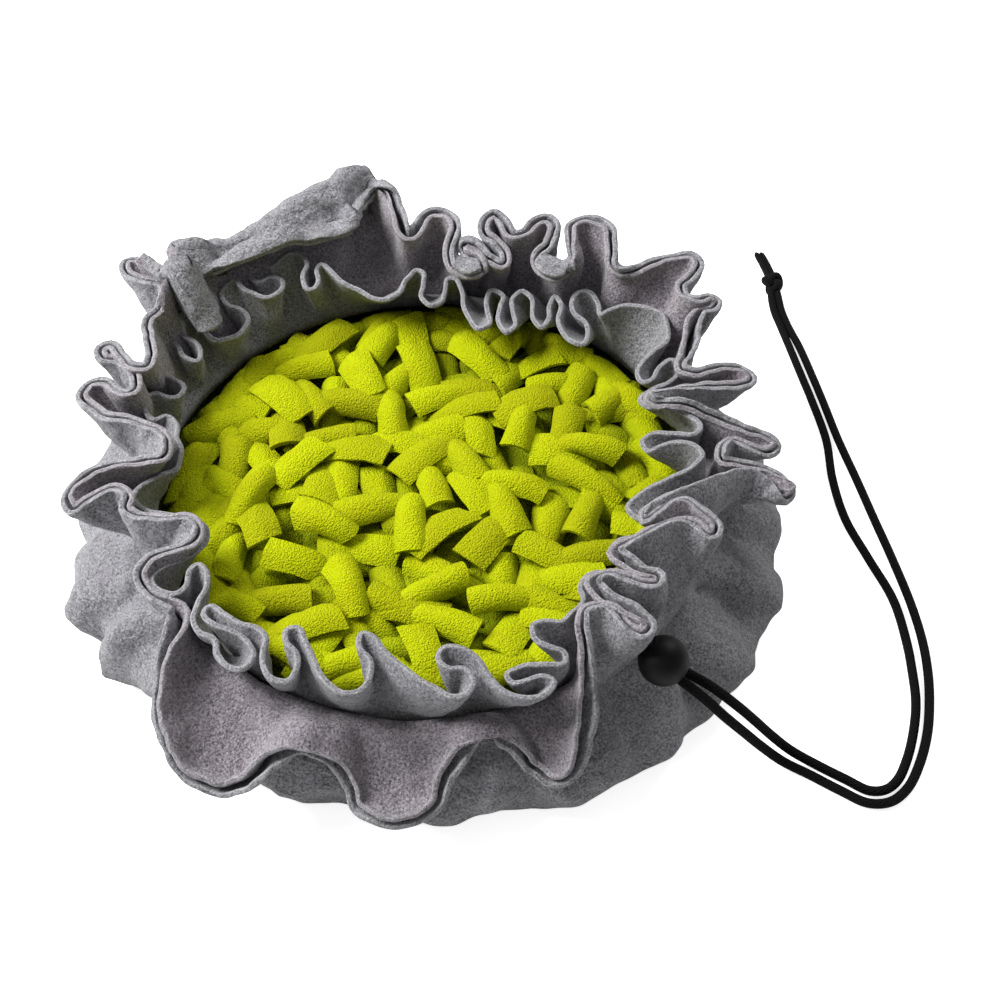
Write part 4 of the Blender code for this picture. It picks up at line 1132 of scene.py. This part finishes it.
class SNUFFLE_OT_strips(Operator):
    """Makes the lime strips and the backing between their roots"""
    bl_idname = "snuffle.strips"
    bl_label = "Strips"

    def execute(self, context):
        strips = settings().strips
        finish = lime_fleece()
        points, faces, depth, olive = [], [], [], []
        cuts = np.random.default_rng(strips.seed)
        for strip in scattered_strips(strips.seed):
            body, sides = strip_body(strip_sheet(strip), strips.thickness / MM)
            body = body + ripple(body + (strip.x * 3, strip.y * 3, 0), 11, 31)[:, None] * 0.22
            placed = kept_inside(turned(body, strip.heading, strip.roll)
                                 + (strip.x, strip.y, strip.z))
            first = sum(len(p) for p in points)
            points.append(placed)
            faces += [tuple(first + i for i in side) for side in sides]
            # Share of painted shade at each point: none above 48 mm, full from 38 mm down
            depth.append(np.clip((48 - placed[:, 2]) / 10, 0, 1))
            olive.append(np.full(len(placed), cuts.random() ** 2))
        piece = link_mesh("lime_strips", np.concatenate(points), faces,
                          {"depth": np.concatenate(depth), "olive": np.concatenate(olive)})
        turn_outwards(piece)
        bpy.ops.object.select_all(action="DESELECT")
        piece.select_set(True)
        bpy.context.view_layer.objects.active = piece
        bpy.ops.object.shade_smooth_by_angle(angle=math.radians(50))
        finish.give(piece)
        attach(piece, "root")

        angles = np.linspace(0, 2 * math.pi, BED_POINTS, endpoint=False)
        rings = [level_ring(angles, bag_bulge(angles) - inset, height)
                 for inset, height in BED_PROFILE]
        rings += [level_ring(angles, radius, height, FIELD_CENTRE) for radius, height in BED_DOME]
        rings = [ring + np.outer(ripple(ring, 14, 40) * 0.8, (0, 0, ring[0, 2] > 10))
                 for ring in rings]
        bed = closed_cloth("strip_backing", rings, {}, capped=True)
        # Painted shade: the backing takes the shaded fleece colour all over
        bed.data.attributes.new("depth", "FLOAT", "POINT").data.foreach_set(
            "value", np.ones(len(bed.data.vertices), np.float32))
        finish.give(bed)
        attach(bed, "root")
        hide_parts("strip_field")
        return {"FINISHED"}


# Cord, knot and lock

def tube(name, centre, radii, segments):
    """Closed tube along a line of points, with a UV of turns and metres."""
    centre = np.asarray(centre)
    way = unit(np.gradient(centre, axis=0))
    side = np.zeros_like(centre)
    side[0] = unit(np.cross(way[0], (0.0, 0.3, 1.0)))
    for k in range(1, len(centre)):
        side[k] = unit(side[k - 1] - way[k] * (side[k - 1] @ way[k]))
    third = np.cross(way, side)
    turn = np.linspace(0, 2 * math.pi, segments, endpoint=False)
    circles = side[:, None] * np.cos(turn)[:, None] + third[:, None] * np.sin(turn)[:, None]
    points = (centre[:, None] + circles * np.asarray(radii)[:, None, None]).reshape(-1, 3)
    run = np.concatenate([[0], np.cumsum(np.linalg.norm(np.diff(centre, axis=0), axis=1))]) * MM
    faces, uvs = [], []
    for k in range(len(centre) - 1):
        low, high = k * segments, (k + 1) * segments
        for i in range(segments):
            j = (i + 1) % segments
            faces.append((low + i, low + j, high + j, high + i))
            uvs += [(i / segments, run[k]), ((i + 1) / segments, run[k]),
                    ((i + 1) / segments, run[k + 1]), (i / segments, run[k + 1])]
    first = tuple(range(segments))[::-1]
    last = tuple(range(len(points) - segments, len(points)))
    faces += [first, last]
    uvs += [(0, 0)] * segments + [(0, run[-1])] * segments
    piece = link_mesh(name, points, faces, uvs=uvs)
    turn_outwards(piece)
    return piece


def tapered(count, radius, rounded):
    """Radii along a tube, rounded off over its last few points."""
    radii = np.full(count, float(radius))
    for k in range(rounded):
        radii[-1 - k] *= math.sin((k + 0.6) / (rounded + 0.2) * math.pi / 2)
    return radii


class SNUFFLE_OT_cords(Operator):
    """Makes the two strands of the drawcord and the knot that joins them"""
    bl_idname = "snuffle.cords"
    bl_label = "Drawcord and knot"

    def execute(self, context):
        cord = settings().cord
        finish = braided_cord()
        radius = cord.diameter / MM / 2
        knot = self.knot(finish, radius)
        for name, node, route in (("near_strand", "drawcord_near", NEAR_STRAND),
                                  ("far_strand", "drawcord_far", FAR_STRAND)):
            line = smooth_route(route, ROUTE_SPACING)
            strand = tube(name, line, np.full(len(line), radius), 14)
            finish.give(strand)
            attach(strand, "root")
            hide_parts(node)
        return {"FINISHED"}

    def knot(self, finish, radius):
        """The knot's turns follow a trefoil, and the two ends of the cord leave it together."""
        t = np.linspace(0, 2 * math.pi, 90, endpoint=False)
        wide, deep, high = KNOT_SCALE
        loop = np.column_stack([(np.sin(t) + 2 * np.sin(2 * t)) * wide,
                                (np.cos(t) - 2 * np.cos(2 * t)) * deep + 0.8,
                                -np.sin(3 * t) * high])
        loop = np.vstack([loop, loop[:1]]) + KNOT_CENTRE
        bow = tube("knot_turns", loop, np.full(len(loop), radius * 1.02), 12)
        route = smooth_route(TAIL_ROUTE, ROUTE_SPACING)
        parts = [bow]
        for shift in (-TAIL_SHIFT, TAIL_SHIFT):
            line = route + (shift, 0.0, 0.0)
            parts.append(tube("tail", line, tapered(len(line), radius * 0.82, 2), 12))
        bpy.ops.object.select_all(action="DESELECT")
        for part in parts:
            part.select_set(True)
        bpy.context.view_layer.objects.active = bow
        bpy.ops.object.join()
        bow.name = "overhand_knot"
        finish.give(bow)
        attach(bow, "root")
        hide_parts("cord_knot")
        return bow


class SNUFFLE_OT_lock(Operator):
    """Makes the ball cord lock with its push button"""
    bl_idname = "snuffle.lock"
    bl_label = "Cord lock"

    def execute(self, context):
        bpy.ops.object.select_all(action="DESELECT")
        bpy.ops.mesh.primitive_uv_sphere_add(segments=48, ring_count=24, radius=LOCK_RADIUS * MM)
        lock = context.active_object
        lock.name = lock.data.name = "ball_lock"
        bpy.ops.object.mode_set(mode="EDIT")
        flat = LOCK_RADIUS * math.cos(math.radians(LOCK_FLATS)) * MM
        for up, steps in ((-1, LOCK_FOOT), (1, LOCK_BUTTON)):
            bpy.ops.mesh.select_all(action="SELECT")
            bpy.ops.mesh.bisect(plane_co=(0, 0, up * flat), plane_no=(0, 0, up),
                                use_fill=True, clear_outer=True)
            for inwards, outwards in steps:
                bpy.ops.mesh.inset(thickness=inwards * MM, depth=outwards * MM)
        bpy.ops.object.mode_set(mode="OBJECT")
        bpy.ops.object.shade_smooth()
        lock.location = Vector(LOCK_CENTRE) * MM
        lock.rotation_euler = (-Vector(LOCK_OUTLET)).to_track_quat("Z", "Y").to_euler()
        bpy.ops.object.transform_apply()
        satin_plastic().give(lock)
        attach(lock, "root")
        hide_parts("cord_lock")
        return {"FINISHED"}


# Stage

def stand(item, place, way):
    """Stand a camera or a lamp at a place in metres, looking along a way."""
    bpy.context.collection.objects.link(item)
    item.location = place
    item.rotation_mode = "QUATERNION"
    item.rotation_quaternion = way.to_track_quat("-Z", "Y")


class SNUFFLE_OT_stage(Operator):
    """Places the camera, a plain pale floor and soft studio light"""
    bl_idname = "snuffle.stage"
    bl_label = "Stage"

    def execute(self, context):
        stage = settings().stage
        scene = bpy.context.scene
        scene.view_settings.view_transform = "Standard"
        camera = bpy.data.objects.new("camera", bpy.data.cameras.new("camera"))
        back = Vector((0.0, -math.cos(stage.elevation), math.sin(stage.elevation)))
        stand(camera, Vector(stage.target) + back * stage.distance, -back)
        camera.data.lens = stage.lens
        camera.data.sensor_width = 36.0
        camera.data.clip_start = 0.01
        camera.data.clip_end = 20.0
        scene.camera = camera

        bpy.ops.object.select_all(action="DESELECT")
        bpy.ops.mesh.primitive_plane_add(size=8.0, location=(0, 0, -0.0003))
        floor = bpy.context.active_object
        floor.name = "floor"
        paper = Finish("white_paper", Roughness=0.9, Specular_IOR_Level=0.1,
                       Emission_Strength=0.8)
        seen = paper.add("ShaderNodeLightPath", {}, {}, "Is Camera Ray")
        glow = paper.blend(seen, (0.0, 0.0, 0.0), (1.0, 1.0, 1.0))
        paper.feed(paper.surface, {"Emission Color": glow})
        tone = paper.blend(paper.noise(paper.place(), 3, 2), (0.93, 0.93, 0.93), (0.95, 0.95, 0.95))
        paper.feed(paper.surface, {"Base Color": tone})
        paper.give(floor)

        world = bpy.data.worlds.new("white_surroundings")
        scene.world = world
        world.use_nodes = True
        background = world.node_tree.nodes["Background"]
        background.inputs["Color"].default_value = (1.0, 1.0, 1.0, 1.0)
        background.inputs["Strength"].default_value = stage.daylight
        for name, place, size, share in LAMPS:
            light = bpy.data.lights.new(name, "AREA")
            light.size = size
            light.energy = stage.lamp * share
            stand(bpy.data.objects.new(name, light), place, -Vector(place))
        return {"FINISHED"}


class SNUFFLE_PT_pieces(Panel):
    """Lists the pieces of the mat"""
    bl_idname = "SNUFFLE_PT_pieces"
    bl_label = "Snuffle mat"
    bl_space_type = "VIEW_3D"
    bl_region_type = "UI"
    bl_category = "Snuffle mat"

    def draw(self, context):
        for maker in MAKERS:
            self.layout.operator(maker.bl_idname)
        held = context.scene.snuffle_mat
        for group in (held.cloth, held.strips, held.cord, held.stage):
            box = self.layout.box()
            for name in group.bl_rna.properties.keys():
                if name not in ("rna_type", "name"):
                    box.prop(group, name)


MAKERS = (SNUFFLE_OT_stage, SNUFFLE_OT_cords, SNUFFLE_OT_lock, SNUFFLE_OT_rim_and_bag,
          SNUFFLE_OT_frill, SNUFFLE_OT_strips)
CLASSES = (ClothSettings, StripSettings, CordSettings, StageSettings, SnuffleMatSettings,
           *MAKERS, SNUFFLE_PT_pieces)


def register():
    for each in CLASSES:
        bpy.utils.register_class(each)
    bpy.types.Scene.snuffle_mat = PointerProperty(type=SnuffleMatSettings)


def unregister():
    del bpy.types.Scene.snuffle_mat
    for each in reversed(CLASSES):
        bpy.utils.unregister_class(each)


def main():
    register()
    bpy.ops.snuffle.stage()
    bpy.ops.snuffle.cords()
    bpy.ops.snuffle.lock()
    bpy.ops.snuffle.rim_and_bag()
    bpy.ops.snuffle.frill()
    bpy.ops.snuffle.strips()


if __name__ == "__main__":
    main()
